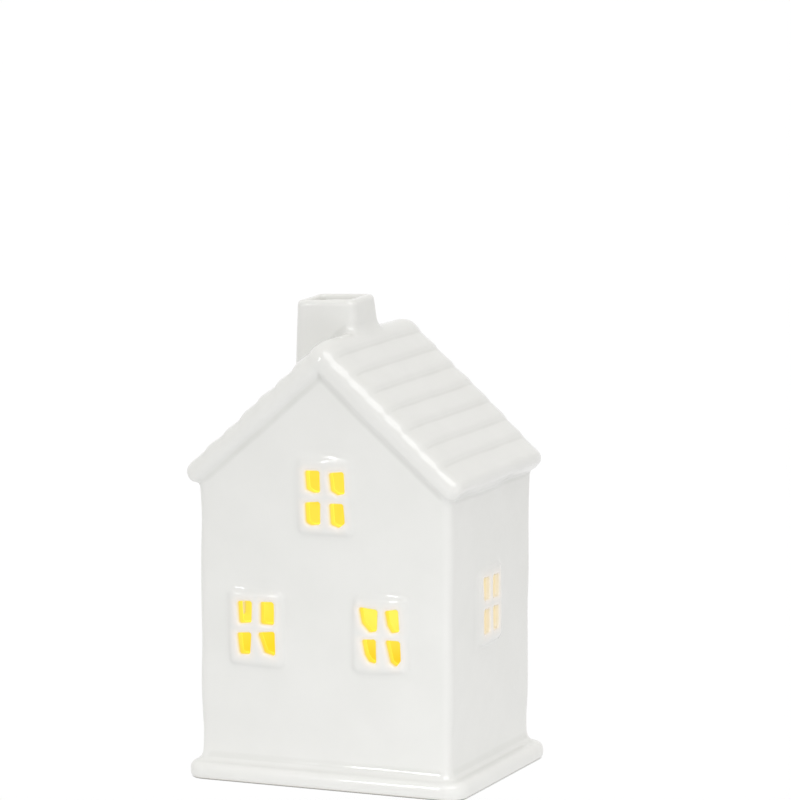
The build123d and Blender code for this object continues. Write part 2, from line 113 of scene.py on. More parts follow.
# Share of the painted shade and highlight of the glaze that is taken off round the window frames,
# and how far round them.
FRAME_SHADE_CUT = 0.75
FRAME_SHADE_CUT_REACH = 2.2


def size(name, millimetres, description):
    """A length on the panel, kept in metres."""
    return bpy.props.FloatProperty(
        name=name, description=description, default=millimetres * MM, min=0.0,
        unit="LENGTH", subtype="DISTANCE", precision=5,
    )


def turn(name, degrees, description):
    """An angle on the panel, kept in radians."""
    return bpy.props.FloatProperty(
        name=name, description=description, default=math.radians(degrees), unit="ROTATION", subtype="ANGLE",
    )


def colour(name, value, description):
    """A colour on the panel."""
    return bpy.props.FloatVectorProperty(
        name=name, description=description, default=value, size=3, min=0.0, max=1.0, subtype="COLOR",
    )


def amount(name, value, description):
    """A plain number on the panel."""
    return bpy.props.FloatProperty(name=name, description=description, default=value, min=0.0)


class WallSizes(bpy.types.PropertyGroup):
    """Walls and plinth"""

    thickness: size("Wall thickness", 3.5, "Thickness of the cast walls")
    corner: size("Corner radius", 2.5, "Radius of the upright outside corners")
    inner_corner: size("Inner corner radius", 1.5, "Radius of the upright inside corners")
    eave_height: size("Eave height", 91.3, "Height at which the side walls meet the roof")
    right_trim: size("Right trim", 0.9, "How far the right wall stands in from its packed place")
    back_grow: size("Back growth", 1.5, "How far the back wall and plinth stand out from their packed place")
    waist: size("Waist", 0.4, "How far the walls are drawn in just above the plinth")
    waist_height: size("Waist height", 13.0, "Height at which the walls are drawn in most")
    waist_spread: size("Waist spread", 8.0, "How far the waist reaches up and down")
    flare_start: size("Flare start", 78.0, "Height from which the walls widen towards the roof")
    flare_end: size("Flare end", 95.0, "Height at which the walls are widest")
    plinth_right: size("Plinth to the right", 0.4, "How far the plinth's right side is moved out")
    overhang: size("Plinth overhang", 3.75, "How far the plinth stands out from the wall")
    band: size("Plinth band", 2.8, "Height of the upright band of the plinth")
    nose: size("Plinth nose radius", 2.5, "Radius of the rounded nose")
    foot: size("Plinth foot radius", 1.2, "Radius along the bottom edge")
    root: size("Wall root", 3.4, "Height down to which the walls run on inside the plinth")
    floor: size("Floor thickness", 6.0, "Thickness of the floor round the light unit")
    unit_gap: size("Unit gap", 0.3, "Room round the light unit's band")
    unit_corner: size("Unit hole corner", 4.7, "Corner radius of the light unit's hole")
    flange_gap: size("Flange gap", 0.4, "Room round the light unit's flange")
    flange_corner: size("Flange seat corner", 6.9, "Corner radius of the flange's seat")
    seat_edge: size("Seat edge", 0.6, "Width over which the edges of hole and seat are rounded")
    notch_radius: size("Notch radius", 8.0, "Radius of the finger notches in the base")
    notch_reach: size("Notch reach", 5.0, "How far a finger notch reaches past the flange")


class RoofSizes(bpy.types.PropertyGroup):
    """Roof and chimney"""

    pitch: turn("Pitch", 41.5, "Slope of the roof")
    thickness: size("Ridge thickness", 8.8, "Thickness of a slope at the ridge")
    eave_thickness: size("Eave thickness", 7.5, "Thickness of a slope at the eave")
    ridge_left: size("Ridge to the left", 0.8, "How far the whole roof sits to the left of the middle")
    left_lift: size("Left lift", 0.5, "How far the left slope's underside sits above the right one's")
    eave_lift: size("Eave lift", 0.7, "How far the underside rises towards the eaves")
    courses: bpy.props.IntProperty(name="Courses", description="Lapped courses on a slope", default=8, min=2)
    step: size("Course step", 0.85, "How far a course stands proud at its lower edge")
    lip: size("Course lip", 3.0, "Length over which a course falls to the next one")
    eave_course: size("Eave course", 9.2, "Length of the lowest course")
    verge_fade: amount("Verge fade", 0.45, "Share of a course's step that is lost at the verge")
    fade_start: size("Verge fade start", 6.0, "How far in from the verge the courses begin to fade")
    fade_end: size("Verge fade end", 1.0, "How far in from the verge the courses have faded")
    verge_round: size("Verge radius", 3.0, "Radius of the rolled upper verge edge")
    verge_bottom: size("Verge bottom radius", 2.5, "Radius of the lower verge edge")
    roll: size("Roll width", 9.6, "How far in from the verge a slope begins to roll over")
    roll_fade: amount("Roll fade", 0.5, "Share of the roll that is lost at the eaves")
    front_drop: size("Front drop", 2.3, "How far the slopes have fallen at the front verge")
    back_drop: size("Back drop", 1.5, "How far the slopes have fallen at the back verge")
    eave_reach: size("Eave reach", 4.0, "How far the eaves stand out past the side walls")
    back_reach: size("Back reach", 1.4, "How much further the roof stands out at the back")
    ridge_round: size("Ridge rounding", 3.6, "Width over which the ridge is rounded")
    eave_top: size("Eave top radius", 3.2, "Radius of the upper eave edge")
    chimney_draft: turn("Chimney draft", 6.0, "Slope of the chimney's faces")
    chimney_tilt: turn("Chimney tilt", 2.2, "Slant of the chimney's top, up to the right")
    chimney_lean: turn("Chimney lean", 1.0, "Slant of the chimney's top, up to the back")
    chimney_width: size("Chimney width", 19.8, "Width of the chimney at its top")
    chimney_depth: size("Chimney depth", 17.6, "Depth of the chimney at its top")
    chimney_foot: size("Chimney foot", 1.05, "How far the foot of the right face stands out past its top")
    chimney_corner: size("Chimney corner radius", 2.4, "Upright corner radius at the top of the chimney")
    chimney_swell: amount("Chimney corner growth", 0.5, "Growth of that radius for each length of spread")
    chimney_top: size("Chimney top radius", 1.5, "Radius round the top of the chimney")
    flue_rim: size("Flue rim", 2.4, "Width of the rim round the flue")
    flue_depth: size("Flue depth", 2.6, "Depth of the sunk flue")
    flue_corner: size("Flue corner radius", 1.6, "Upright corner radius of the flue")
    flue_edge: size("Flue edge", 1.2, "Width over which the flue's edge is rounded")


class WindowSizes(bpy.types.PropertyGroup):
    """Windows"""

    pane_corner: size("Pane corner radius", 0.6, "Corner radius of a cut pane")
    pane_draft: amount("Pane draft", 0.03, "How much a pane widens for each length outwards")
    grow: size("Frame growth", 0.65, "How far slip and glaze widen a frame all round")
    ripple: size("Frame ripple", 0.02, "How far a frame's face wanders from true")
    dome: size("Frame dome", 0.23, "How far a frame's face falls back towards its sides")
    relief: size("Frame relief", 1.4, "How far the frame stands out from the wall")
    corner: size("Frame corner radius", 2.6, "Corner radius of the frame")
    edge: size("Frame edge rounding", 2.8, "Width over which the frame's face rolls down to the wall")


class SlipSizes(bpy.types.PropertyGroup):
    """Slip, glaze and how finely they are modelled"""

    roof: size("Slip under the roof", 1.7, "Width of the slip fillet between roof and wall")
    plinth: size("Slip at the plinth", 3.4, "Width of the slip cove between plinth and wall")
    chimney: size("Slip round the chimney", 2.6, "Width of the slip fillet round the chimney's foot")
    frame: size("Slip round a frame", 1.15, "Width of the slip fillet round a window frame")
    pane: size("Pane edge rounding", 1.3, "Width over which glaze rounds a pane's edge")
    spill: size("Light spill", 1.8, "How far the warm light shines into the clay round a pane")
    wobble: size("Hand-made wobble", 0.11, "How far the cast surface wanders from true")
    ripple: size("Glaze ripple", 0.006, "How far the fine waviness of the glaze wanders")
    wall_mesh: size("Wall mesh", 0.6, "Mesh size on walls, roof and plinth")
    chimney_mesh: size("Chimney mesh", 0.35, "Mesh size on the chimney")
    frame_mesh: size("Frame mesh", 0.22, "Mesh size on the window frames")


class Finish(bpy.types.PropertyGroup):
    """Colours and gloss"""

    glaze: colour("Glaze", (0.865, 0.865, 0.845), "White glaze")
    cloudy: colour("Cloudy glaze", (0.78, 0.785, 0.76), "Faint clouds in the glaze")
    # Darker glaze in hollows: painted shade in creases and hollows, partly glaze that lies thick there.
    pooled: colour("Pooled glaze", (0.62, 0.625, 0.59), "Where the glaze lies thick in a hollow")
    # Lighter glaze on edges: a painted highlight, partly glaze that runs thinner there.
    thin: colour("Thin glaze", (0.90, 0.895, 0.875), "Where the glaze runs thin over an edge")
    bisque: colour("Bare foot", (0.78, 0.74, 0.66), "Unglazed ring that the house stands on")
    # From here to the glow strength, the diodes' warm light is painted onto the clay as colour and emission
    # glow.
    lit_wall: colour("Lit inside", (0.14, 0.09, 0.03), "Inside of the walls, under the warm light")
    glow_low: colour("Low glow", (1.0, 0.66, 0.03), "Warm light on the inside, near the diodes")
    glow_high: colour("High glow", (1.0, 0.79, 0.08), "Warm light on the inside, higher up")
    glow_spot: colour("Glow spot", (1.0, 0.93, 0.13), "Brightest spot, on the back wall behind the diodes")
    reveal: colour("Pane edge glow", (0.50, 0.40, 0.20), "Warm light in the cut edge of a pane")
    spilt: colour("Spilt light", (0.07, 0.04, 0.02), "Warm light in the clay round a pane")
    warm_clay: colour("Warm clay", (0.865, 0.84, 0.795), "Clay round a pane, tinted by the light behind it")
    glow_strength: amount("Glow strength", 0.9, "Strength of the warm light on the inside")
    gloss: amount("Glaze roughness", 0.1, "Roughness of the glaze")


class UnitFinish(bpy.types.PropertyGroup):
    """Colours of the light unit"""

    plastic: colour("Case plastic", (0.86, 0.86, 0.83), "White moulded case")
    plastic_shade: colour("Case shade", (0.825, 0.825, 0.79), "Flow marks in the white case")
    dark: colour("Dark plastic", (0.03, 0.03, 0.035), "Switch knob, sleeves and black insulation")
    dark_shade: colour("Dark shade", (0.055, 0.055, 0.06), "Rubbed places on the dark plastic")
    red: colour("Red insulation", (0.55, 0.03, 0.03), "Insulation of the red wire")
    red_shade: colour("Red shade", (0.42, 0.02, 0.02), "Darker streaks in the red insulation")
    silicone: colour("Silicone", (0.82, 0.82, 0.79), "Milky band round the case")
    silicone_shade: colour("Silicone shade", (0.74, 0.74, 0.70), "Cloudier places in the band")
    mask: colour("Solder mask", (0.035, 0.23, 0.09), "Green lacquer of the circuit board")
    trace: colour("Trace", (0.07, 0.34, 0.14), "Lacquer over a copper trace")
    plated: colour("Plated steel", (0.66, 0.66, 0.68), "Screws and switch can")
    plated_shade: colour("Plated shade", (0.50, 0.50, 0.53), "Drawn lines in the plating")
    cell: colour("Cell steel", (0.72, 0.72, 0.74), "Cans of the button cells")
    cell_shade: colour("Cell shade", (0.58, 0.58, 0.60), "Drawn lines in the cans")
    spring: colour("Spring metal", (0.75, 0.62, 0.35), "Contacts and diode legs")
    spring_shade: colour("Spring shade", (0.60, 0.46, 0.24), "Drawn lines in the spring metal")
    lens: colour("Lens", (1.0, 0.82, 0.45), "Warm diode lens")
    lens_core: colour("Lens core", (1.0, 0.72, 0.30), "Light of the chip inside the lens")
    lens_strength: amount("Lens strength", 2.0, "Strength of the light in the lens")


class HouseSettings(bpy.types.PropertyGroup):
    """All that the panel shows"""

    walls: bpy.props.PointerProperty(type=WallSizes)
    roof: bpy.props.PointerProperty(type=RoofSizes)
    windows: bpy.props.PointerProperty(type=WindowSizes)
    slip: bpy.props.PointerProperty(type=SlipSizes)
    finish: bpy.props.PointerProperty(type=Finish)
    unit: bpy.props.PointerProperty(type=UnitFinish)


# Distance fields. All of them are in millimetres, negative inside the clay.


def smooth_min(a, b, width):
    """Joins two solids with a fillet of about that width."""
    near = np.maximum(width - np.abs(a - b), 0.0) / width
    return np.minimum(a, b) - near * near * (width / 4)


def smooth_max(a, b, width):
    """Crosses two solids and rounds the edge between them."""
    return -smooth_min(-a, -b, width)


def round_max(a, b, radius):
    """Crosses two square faces with an exact edge radius."""
    outside = np.hypot(np.maximum(a + radius, 0.0), np.maximum(b + radius, 0.0))
    return np.minimum(np.maximum(a, b) + radius, 0.0) + outside - radius


def rounded_rectangle(u, v, half_u, half_v, radius):
    """Distance to a rectangle with round corners."""
    across = np.abs(u) - (half_u - radius)
    up = np.abs(v) - (half_v - radius)
    outside = np.hypot(np.maximum(across, 0.0), np.maximum(up, 0.0))
    return outside + np.minimum(np.maximum(across, up), 0.0) - radius


def quarter_round(across, up, radius, start, count):
    """Points along a quarter of a circle, from an angle on."""
    angles = np.linspace(start, start + math.pi / 2, count)
    return [(across + radius * math.cos(angle), up + radius * math.sin(angle)) for angle in angles]


def outline_distance(u, v, corners):
    """Distance to a closed outline of straight runs."""
    nearest = np.full(np.broadcast_shapes(u.shape, v.shape), np.inf, np.float32)
    inside = np.zeros(nearest.shape, bool)
    for (au, av), (bu, bv) in zip(corners, [*corners[1:], corners[0]]):
        run_u, run_v = bu - au, bv - av
        along = np.clip(((u - au) * run_u + (v - av) * run_v) / (run_u**2 + run_v**2), 0.0, 1.0)
        gap = (u - au - along * run_u) ** 2 + (v - av - along * run_v) ** 2
        nearest = np.minimum(nearest, gap)
        crosses = (av > v) != (bv > v)
        if run_v:
            inside ^= crosses & (u < au + (v - av) * run_u / run_v)
    return np.where(inside, -1.0, 1.0) * np.sqrt(nearest)


def ease(low, high, value):
    """Rises smoothly from 0 at low to 1 at high."""
    share = np.clip((value - low) / (high - low), 0.0, 1.0)
    return share * share * (3 - 2 * share)


def sine_waves(waves, per_length, x, y, z):
    """Sum of waves, each turning by that angle over its length."""
    total = 0.0
    for wave_x, wave_y, wave_z, phase, weight in waves:
        total = total + weight * np.sin(per_length * (x / wave_x + y / wave_y + z / wave_z) + phase)
    return total


class Grid:
    """A block of evenly spaced sample points."""

    def __init__(self, low, high, step):
        spare = SPARE_SAMPLES * step
        self.step = step
        self.low = np.array(low, float) - spare
        counts = np.ceil((np.array(high, float) + spare - self.low) / step).astype(int) + 1
        self.axes = [start + step * np.arange(n, dtype=np.float32) for start, n in zip(self.low, counts)]
        self.shape = tuple(counts)

    def block(self, low, high):
        """Slices of the samples between two corners, or None."""
        cuts = [slice(*np.searchsorted(axis, (lo, hi))) for axis, lo, hi in zip(self.axes, low, high)]
        return tuple(cuts) if all(cut.stop > cut.start for cut in cuts) else None

    def points(self, block=(slice(None),) * 3):
        """Coordinates of the samples, one axis each, ready to be put together."""
        x, y, z = (axis[cut].astype(np.float32) for axis, cut in zip(self.axes, block))
        return x[:, None, None], y[None, :, None], z[None, None, :]

    def sample(self, field, points):
        """The field at any points, straight between the samples."""
        place_in = (points - self.low) / self.step
        cell = np.clip(np.floor(place_in).astype(int), 0, np.array(self.shape) - 2)
        share = np.clip(place_in - cell, 0.0, 1.0)
        total = np.zeros(len(points))
        for corner in np.ndindex(2, 2, 2):
            weight = np.prod(np.where(corner, share, 1 - share), axis=1)
            total += weight * field[tuple((cell + corner).T)]
        return total

    def slope_and_bend(self, field, points, reach):
        """Which way a field rises at each point, and how sharply it bends there."""
        slope = np.zeros((len(points), 3))
        bend = -6 * self.sample(field, points)
        for axis, offset in enumerate(reach * np.eye(3)):
            ahead, behind = self.sample(field, points + offset), self.sample(field, points - offset)
            slope[:, axis] = ahead - behind
            bend += ahead + behind
        slope /= np.maximum(np.linalg.norm(slope, axis=1, keepdims=True), 1e-6)
        return slope, bend / reach**2

    def surface(self, field):
        """Vertices, triangles and squares of a field's surface."""
        band = BAND_SAMPLES * self.step
        volume = openvdb.FloatGrid(band)
        volume.copyFromArray(np.clip(field, -band, band).astype(np.float32))
        volume.transform = openvdb.createLinearTransform(voxelSize=self.step)
        points, triangles, squares = volume.convertToPolygons()
        return points + self.low, triangles, squares


class Window:
    """One raised frame with its four cut panes."""

    def __init__(self, house, node, cuts):
        self.house, self.node, self.cuts = house, node, cuts
        x, y, self.up = house.middle(node)
        self.side = FRONT if node.startswith("window_front") else RIGHT if node.endswith("right") else LEFT
        self.across = x if self.side == FRONT else y

    def local(self, x, y, z):
        """Across the wall, up it and out of it, from the middle of the frame on the wall's face."""
        house = self.house
        if self.side == FRONT:
            return x - self.across, z - self.up, -y - house.depth / 2
        if self.side == RIGHT:
            return y - self.across, z - self.up, x - house.width / 2 + house.wall.right_trim
        return self.across - y, z - self.up, -x - house.width / 2

    def in_wall(self, out):
        """Whether a point is as far out as the window's own wall."""
        return np.abs(out) < 2 * self.house.wall.thickness

    def outline(self, u, v):
        """Distance to the frame's outline."""
        w = self.house.window
        return rounded_rectangle(u, v, w.half_width + w.grow, w.half_height + w.grow, w.corner)

    def frame(self, x, y, z):
        """The frame, without its panes."""
        w = self.house.window
        u, v, out = self.local(x, y, z)
        waves = [(*wave, math.inf, phase, 1.0) for wave, phase in zip(FRAME_WAVES, (self.up, self.across))]
        uneven = w.ripple * sine_waves(waves, 1.0, u, v, 0.0)
        face = out - w.relief - uneven + w.dome * (u / w.half_width) ** 2
        return np.maximum(smooth_max(self.outline(u, v), face, w.edge), -out)

    def panes(self, x, y, z):
        """The four holes, cut by hand and a little wider on the outside."""
        w = self.house.window
        u, v, out = self.local(x, y, z)
        flat_u, flat_v = u + 0 * v, v + 0 * u
        holes = [outline_distance(flat_u, flat_v, corners) for corners in self.cuts]
        return np.minimum.reduce(holes) - w.pane_corner - w.pane_draft * out


# Corners of each pane in millimetres from the middle of its frame, drawn in by the corner radius.
HAND_CUTS = {
    "window_front_left": (
        ((-5.6, 7.6), (-2.2, 7.8), (-2.3, 2.5), (-5.2, 2.1)),
        ((2.1, 7.8), (5.2, 7.9), (5.2, 2.3), (2.1, 2.3)),
        ((-5.8, -2.4), (-2.4, -2.1), (-2.8, -7.5), (-5.1, -7.6)),
        ((1.4, -1.9), (5.5, -1.5), (5.7, -7.4), (3.2, -6.8)),
    ),
    "window_front_right": (
        ((-6.6, 7.8), (-1.8, 7.4), (-2.1, 2.1), (-3.7, 1.7), (-5.8, 3.9)),
        ((2.0, 7.3), (5.1, 7.9), (5.4, 2.4), (3.7, 2.0), (2.7, 3.6)),
        ((-5.6, -2.2), (-2.4, -2.0), (-2.2, -8.0), (-3.7, -7.7), (-4.8, -6.0)),
        ((2.3, -2.0), (5.6, -2.0), (5.7, -7.0), (4.7, -8.3), (3.7, -7.6)),
    ),
    "window_front_upper": (
        ((-6.2, 7.3), (-2.5, 7.4), (-2.4, 2.0), (-3.8, 1.8), (-5.8, 2.5)),
        ((1.9, 7.0), (5.5, 7.4), (5.8, 2.0), (4.2, 1.6), (2.4, 2.5)),
        ((-6.2, -2.7), (-2.4, -2.3), (-2.4, -8.0), (-4.9, -8.3), (-5.9, -7.8)),
        ((2.0, -2.6), (5.4, -2.5), (5.8, -7.4), (4.4, -8.5), (2.4, -7.9)),
    ),
    "window_side_right": (
        ((-5.5, 8.4), (-2.1, 8.3), (-2.0, 2.9), (-5.4, 3.0)),
        ((2.1, 8.2), (5.8, 8.0), (5.7, 2.7), (2.0, 2.8)),
        ((-5.5, -1.6), (-2.0, -1.7), (-2.1, -7.6), (-5.3, -7.7)),
        ((2.0, -1.7), (5.6, -1.9), (5.5, -7.5), (2.1, -7.5)),
    ),
    "window_side_left": (
        ((-5.5, 7.9), (-2.4, 8.0), (-2.3, 2.4), (-5.3, 2.3)),
        ((2.2, 8.0), (5.3, 7.9), (5.4, 2.4), (2.3, 2.3)),
        ((-5.4, -2.4), (-2.3, -2.3), (-2.5, -7.9), (-5.1, -7.8)),
        ((2.3, -2.3), (5.5, -2.2), (5.3, -7.8), (2.5, -7.9)),
    ),
}


class Lengths:
    """A settings group's lengths in millimetres. Angles and counts stay as they are."""

    def __init__(self, group):
        for key, prop in group.bl_rna.properties.items():
            if key not in ("rna_type", "name"):
                value = getattr(group, key)
                setattr(self, key, value / MM if getattr(prop, "unit", "") == "LENGTH" else value)


def box_mm(node):
    """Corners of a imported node, in millimetres."""
    low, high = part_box(node)
    return np.array(low) / MM, np.array(high) / MM


class House:
    """Sizes in millimetres and the distance field of each ceramic piece."""

    def __init__(self, settings):
        self.wall, self.tiles = Lengths(settings.walls), Lengths(settings.roof)
        self.window, self.slip = Lengths(settings.windows), Lengths(settings.slip)
        self.boxes = {node: box_mm(node) for node in frame["record"]["behaviour"]["bodies"][CERAMIC_BODY]}
        self.width, self.depth, _ = self.extent("wall_shell")
        self.verge_y = self.boxes["roof"][1][1]
        tiles = self.tiles
        self.sin, self.cos = math.sin(tiles.pitch), math.cos(tiles.pitch)
        self.ridge_underside = self.wall.eave_height + self.width / 2 * math.tan(tiles.pitch)
        tip = (tiles.eave_thickness + tiles.step) * self.sin - tiles.eave_top * (self.cos + self.sin - 1)
        self.slope_start = -tiles.thickness * math.tan(tiles.pitch)
        self.slope_end = (self.width / 2 + tiles.eave_reach - tip) / self.cos
        frame_width, _, frame_height = self.extent("window_front_left")
        self.window.half_width, self.window.half_height = frame_width / 2, frame_height / 2
        self.windows = [Window(self, node, cuts) for node, cuts in HAND_CUTS.items()]
        self.parts = {
            "wall_shell": (self.walls, EMPTY_BLEND),
            "base_plinth": (self.plinth, self.slip.plinth),
            "roof": (self.roof, self.slip.roof),
            "chimney": (self.chimney, self.slip.chimney),
        }
        self.parts.update({window.node: (window.frame, self.slip.frame) for window in self.windows})

    def extent(self, node):
        """Width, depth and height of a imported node."""
        low, high = self.boxes[node]
        return high - low

    def middle(self, node):
        """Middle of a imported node."""
        low, high = self.boxes[node]
        return (low + high) / 2

    def roof_height(self, x, z):
        """Height above the roof's underside, square to the slope."""
        return np.abs(x + self.tiles.ridge_left) * self.sin + (z - self.ridge_underside) * self.cos

    def plan(self, x, y, inset, radius, right):
        """Distance to the outline on the ground, drawn in all round, with the right side moved out."""
        back = self.wall.back_grow
        half_x, half_y = (self.width + right) / 2, (self.depth + back) / 2
        return rounded_rectangle(x - right / 2, y - back / 2, half_x - inset, half_y - inset, radius)

    def inside(self, x, y):
        """Distance to the walls' inner faces, negative between them."""
        wall = self.wall
        return self.plan(x, y, wall.thickness, wall.inner_corner, -wall.right_trim)

    def waist(self, z):
        """How far the walls are drawn in at a height."""
        wall = self.wall
        waist = np.exp(-(((z - wall.waist_height) / wall.waist_spread) ** 2))
        return wall.waist * (waist - ease(wall.flare_start, wall.flare_end, z))

    def walls(self, x, y, z):
        """Four walls and two gables, up to the middle of the roof's thickness."""
        wall = self.wall
        outside = self.plan(x, y, 0.0, wall.corner, -wall.right_trim) + self.waist(z)
        top = self.roof_height(x, z) - self.tiles.thickness / 2
        return np.maximum(np.maximum(np.maximum(outside, -self.inside(x, y)), top), wall.root - z)

    def plinth(self, x, y, z):
        """Floor and plinth, with the light unit's seat and the finger notches."""
        wall = self.wall
        block = [
            (BLOCK_INNER_END, 0.0),
            *quarter_round(wall.overhang - wall.foot, wall.foot, wall.foot, -math.pi / 2, FOOT_POINTS),
            *quarter_round(wall.overhang - wall.nose, wall.band, wall.nose, 0.0, NOSE_POINTS),
            (BLOCK_INNER_END, wall.floor),
        ]
        reach = np.arange(SECTION_START, SECTION_END, SECTION_STEP, dtype=np.float32)
        table = outline_distance(reach[:, None], z[0, 0][None, :], block)
        outside = self.plan(x, y, 0.0, wall.corner, wall.plinth_right)[:, :, 0]
        field = np.stack([np.interp(outside, reach, row) for row in table.T], axis=2).astype(np.float32)
        band_low, band_high = box_mm("grip_band")
        _, flange_high = box_mm("case_floor")
        half_x, half_y = band_high[0] + wall.unit_gap, band_high[1] + wall.unit_gap
        hole = rounded_rectangle(x, y, half_x, half_y, wall.unit_corner)
        half_x, half_y = flange_high[0] + wall.flange_gap, flange_high[1] + wall.flange_gap
        seat = rounded_rectangle(x, y, half_x, half_y, wall.flange_corner)
        notch_x = flange_high[0] + wall.notch_reach - wall.notch_radius
        notch = np.hypot(np.abs(x) - notch_x, y) - wall.notch_radius
        seat = np.maximum(np.minimum(seat, notch), z - band_low[2])
        return smooth_max(field, -np.minimum(hole, seat), wall.seat_edge)

    def course_rise(self, along):
        """How far the lapped courses stand proud of a plain slope."""
        tiles = self.tiles
        start, end = self.slope_start, self.slope_end
        pitch = (end - tiles.eave_course - start) / (tiles.courses - 1)
        course = np.clip(np.floor((along - start) / pitch), 0, tiles.courses - 1)
        lowest = course == tiles.courses - 1
        down = along - start - course * pitch
        length = np.where(lowest, end - start - course * pitch, pitch)
        fall = np.where(lowest, 0.0, ease(pitch - tiles.lip, pitch, down))
        return tiles.step * np.clip(down / length, 0.0, 1.0) * (1 - fall)

    def roof(self, x, y, z):
        """Two slopes with softened courses, rolled verges and a rounded ridge."""
        tiles = self.tiles
        start, end = self.slope_start, self.slope_end
        x = x + tiles.ridge_left
        past_verge = np.abs(y - tiles.back_reach / 2) - self.verge_y - tiles.back_reach / 2
        lean = (z - self.ridge_underside) * self.cos
        right, left = x * self.sin + lean, -x * self.sin + lean
        height = smooth_max(right, left, tiles.ridge_round)
        along = np.abs(x) * self.cos - (z - self.ridge_underside) * self.sin
        faded = tiles.verge_fade * ease(-tiles.fade_start, -tiles.fade_end, past_verge)
        rise = self.course_rise(along) * (1 - faded)
        down_slope = np.clip((along - start) / (end - start), 0.0, 1.0)
        into_roll = np.clip(past_verge / tiles.roll + 1, 0.0, 1.0) ** 2
        drop = np.where(y < 0, tiles.front_drop, tiles.back_drop) * into_roll
        drop = drop * (1 - tiles.roll_fade * down_slope)
        thickness = tiles.thickness + (tiles.eave_thickness - tiles.thickness) * down_slope
        section = round_max(height - thickness + drop - rise, along - end, tiles.eave_top)
        section = round_max(section, past_verge, tiles.verge_round)
        underside = np.minimum(-right, tiles.left_lift - left) + tiles.eave_lift * down_slope**3
        return round_max(section, underside, tiles.verge_bottom)

    def chimney(self, x, y, z):
        """Tapered stack with a sunk flue, let a little way into the roof."""
        tiles = self.tiles
        _, high = self.boxes["chimney"]
        half_x, half_y = tiles.chimney_width / 2, tiles.chimney_depth / 2
        from_x, from_y = x - (high[0] - half_x - tiles.chimney_foot), y - self.middle("chimney")[1]
        top = high[2] + from_x * math.tan(tiles.chimney_tilt) + from_y * math.tan(tiles.chimney_lean)
        spread = (high[2] - z) * math.tan(tiles.chimney_draft)
        corner = tiles.chimney_corner + tiles.chimney_swell * np.maximum(spread, 0.0)
        stack = rounded_rectangle(from_x - spread / 2, from_y, half_x + spread / 2, half_y + spread, corner)
        stack = round_max(stack * math.cos(tiles.chimney_draft), z - top, tiles.chimney_top)
        rim = tiles.flue_rim
        flue = rounded_rectangle(from_x, from_y, half_x - rim, half_y - rim, tiles.flue_corner)
        stack = smooth_max(stack, -np.maximum(flue, top - tiles.flue_depth - z), tiles.flue_edge)
        return np.maximum(stack, tiles.thickness - CHIMNEY_ROOT - self.roof_height(x, z))

    def cavity(self, x, y, z):
        """The lit space inside the house."""
        return np.maximum(np.maximum(self.inside(x, y), self.roof_height(x, z)), self.wall.floor - z)

    def wobble(self, x, y, z):
        """The unevenness of a cast and glazed surface. The base stays true."""
        cast = self.slip.wobble * sine_waves(CAST_WAVES, 2 * math.pi, x, y, z)
        glaze = self.slip.ripple * sine_waves(GLAZE_WAVES, 1.0, x, y, z)
        return (cast + glaze) * ease(TRUE_UP_TO, UNEVEN_FROM, z)

    def near(self, grid, node):
        """The samples round one piece, or None where the grid doesn't reach it."""
        low, high = self.boxes[node]
        return grid.block(low - FIELD_MARGIN, high + FIELD_MARGIN)

    def skin(self, grid):
        """All the ceramic pieces joined with slip, with the panes cut out."""
        field = np.full(grid.shape, 2 * FIELD_MARGIN, np.float32)
        for node, (distance, slip) in self.parts.items():
            block = self.near(grid, node)
            if block:
                field[block] = smooth_min(field[block], distance(*grid.points(block)), slip)
        field += self.wobble(*grid.points())
        for window in self.windows:
            block = self.near(grid, window.node)
            if block:
                field[block] = smooth_max(field[block], -window.panes(*grid.points(block)), self.slip.pane)
        return field

    def others(self, grid, own_node):
        """The nearest of the other pieces."""
        field = np.full(grid.shape, 2 * FIELD_MARGIN, np.float32)
        for node, (distance, _) in self.parts.items():
            block = self.near(grid, node)
            if block and node != own_node:
                field[block] = np.minimum(field[block], distance(*grid.points(block)))
        return field

    def from_panes(self, x, y, z):
        """Distance from the edge of the nearest pane, through the wall's thickness."""
        nearest = np.full(x.shape, np.inf)
        for window in self.windows:
            here = window.in_wall(window.local(x, y, z)[2])
            nearest[here] = np.minimum(nearest[here], np.abs(window.panes(x[here], y[here], z[here])))
        return nearest

    def wiped(self, x, y, z):
        """Share of the painted shade and highlight of the glaze that is kept, which is less round the window
        frames.
        """
        left = np.ones(x.shape)
        for window in self.windows:
            u, v, out = window.local(x, y, z)
            near = np.exp(-((window.outline(u, v) / FRAME_SHADE_CUT_REACH) ** 2)) * window.in_wall(out)
            left = np.minimum(left, 1 - FRAME_SHADE_CUT * near)
        return left

    def marks(self, points, bend):
        """Where the clay glows with painted warm light, is tinted by painted light, is darker with painted
        shade where glaze pools or lighter with a painted highlight where it thins, or is bare.
        """
        x, y, z = points.T
        inside, from_pane = self.cavity(x, y, z), self.from_panes(x, y, z)
        depth = self.wall.thickness + self.window.relief
        # Painted glow: the inner faces and the panes' cut edges glow as if lit by the diodes.
        near_pane = np.exp(-((from_pane / EDGE_GLOW_REACH) ** 2))
        edge_glow = ease(depth, EDGE_GLOW_DEPTH * depth, inside) * near_pane
        in_side_wall = np.abs(x) > self.width / 2 - 2 * self.wall.thickness
        edge_glow = np.where(in_side_wall, SIDE_GLOW, 1.0) * edge_glow
        return {
            "glow": np.maximum(1 - ease(LIT_DEPTH, self.wall.thickness - UNLIT_DEPTH, inside), edge_glow),
            "spill": np.exp(-((from_pane / self.slip.spill) ** 2)),
            # The bend carries the painted shade and highlight, and round the frames it is weakened.
            "bend": bend * self.wiped(x, y, z),
            "bare": ease(GLAZED_FROM, BARE_UP_TO, z),
        }


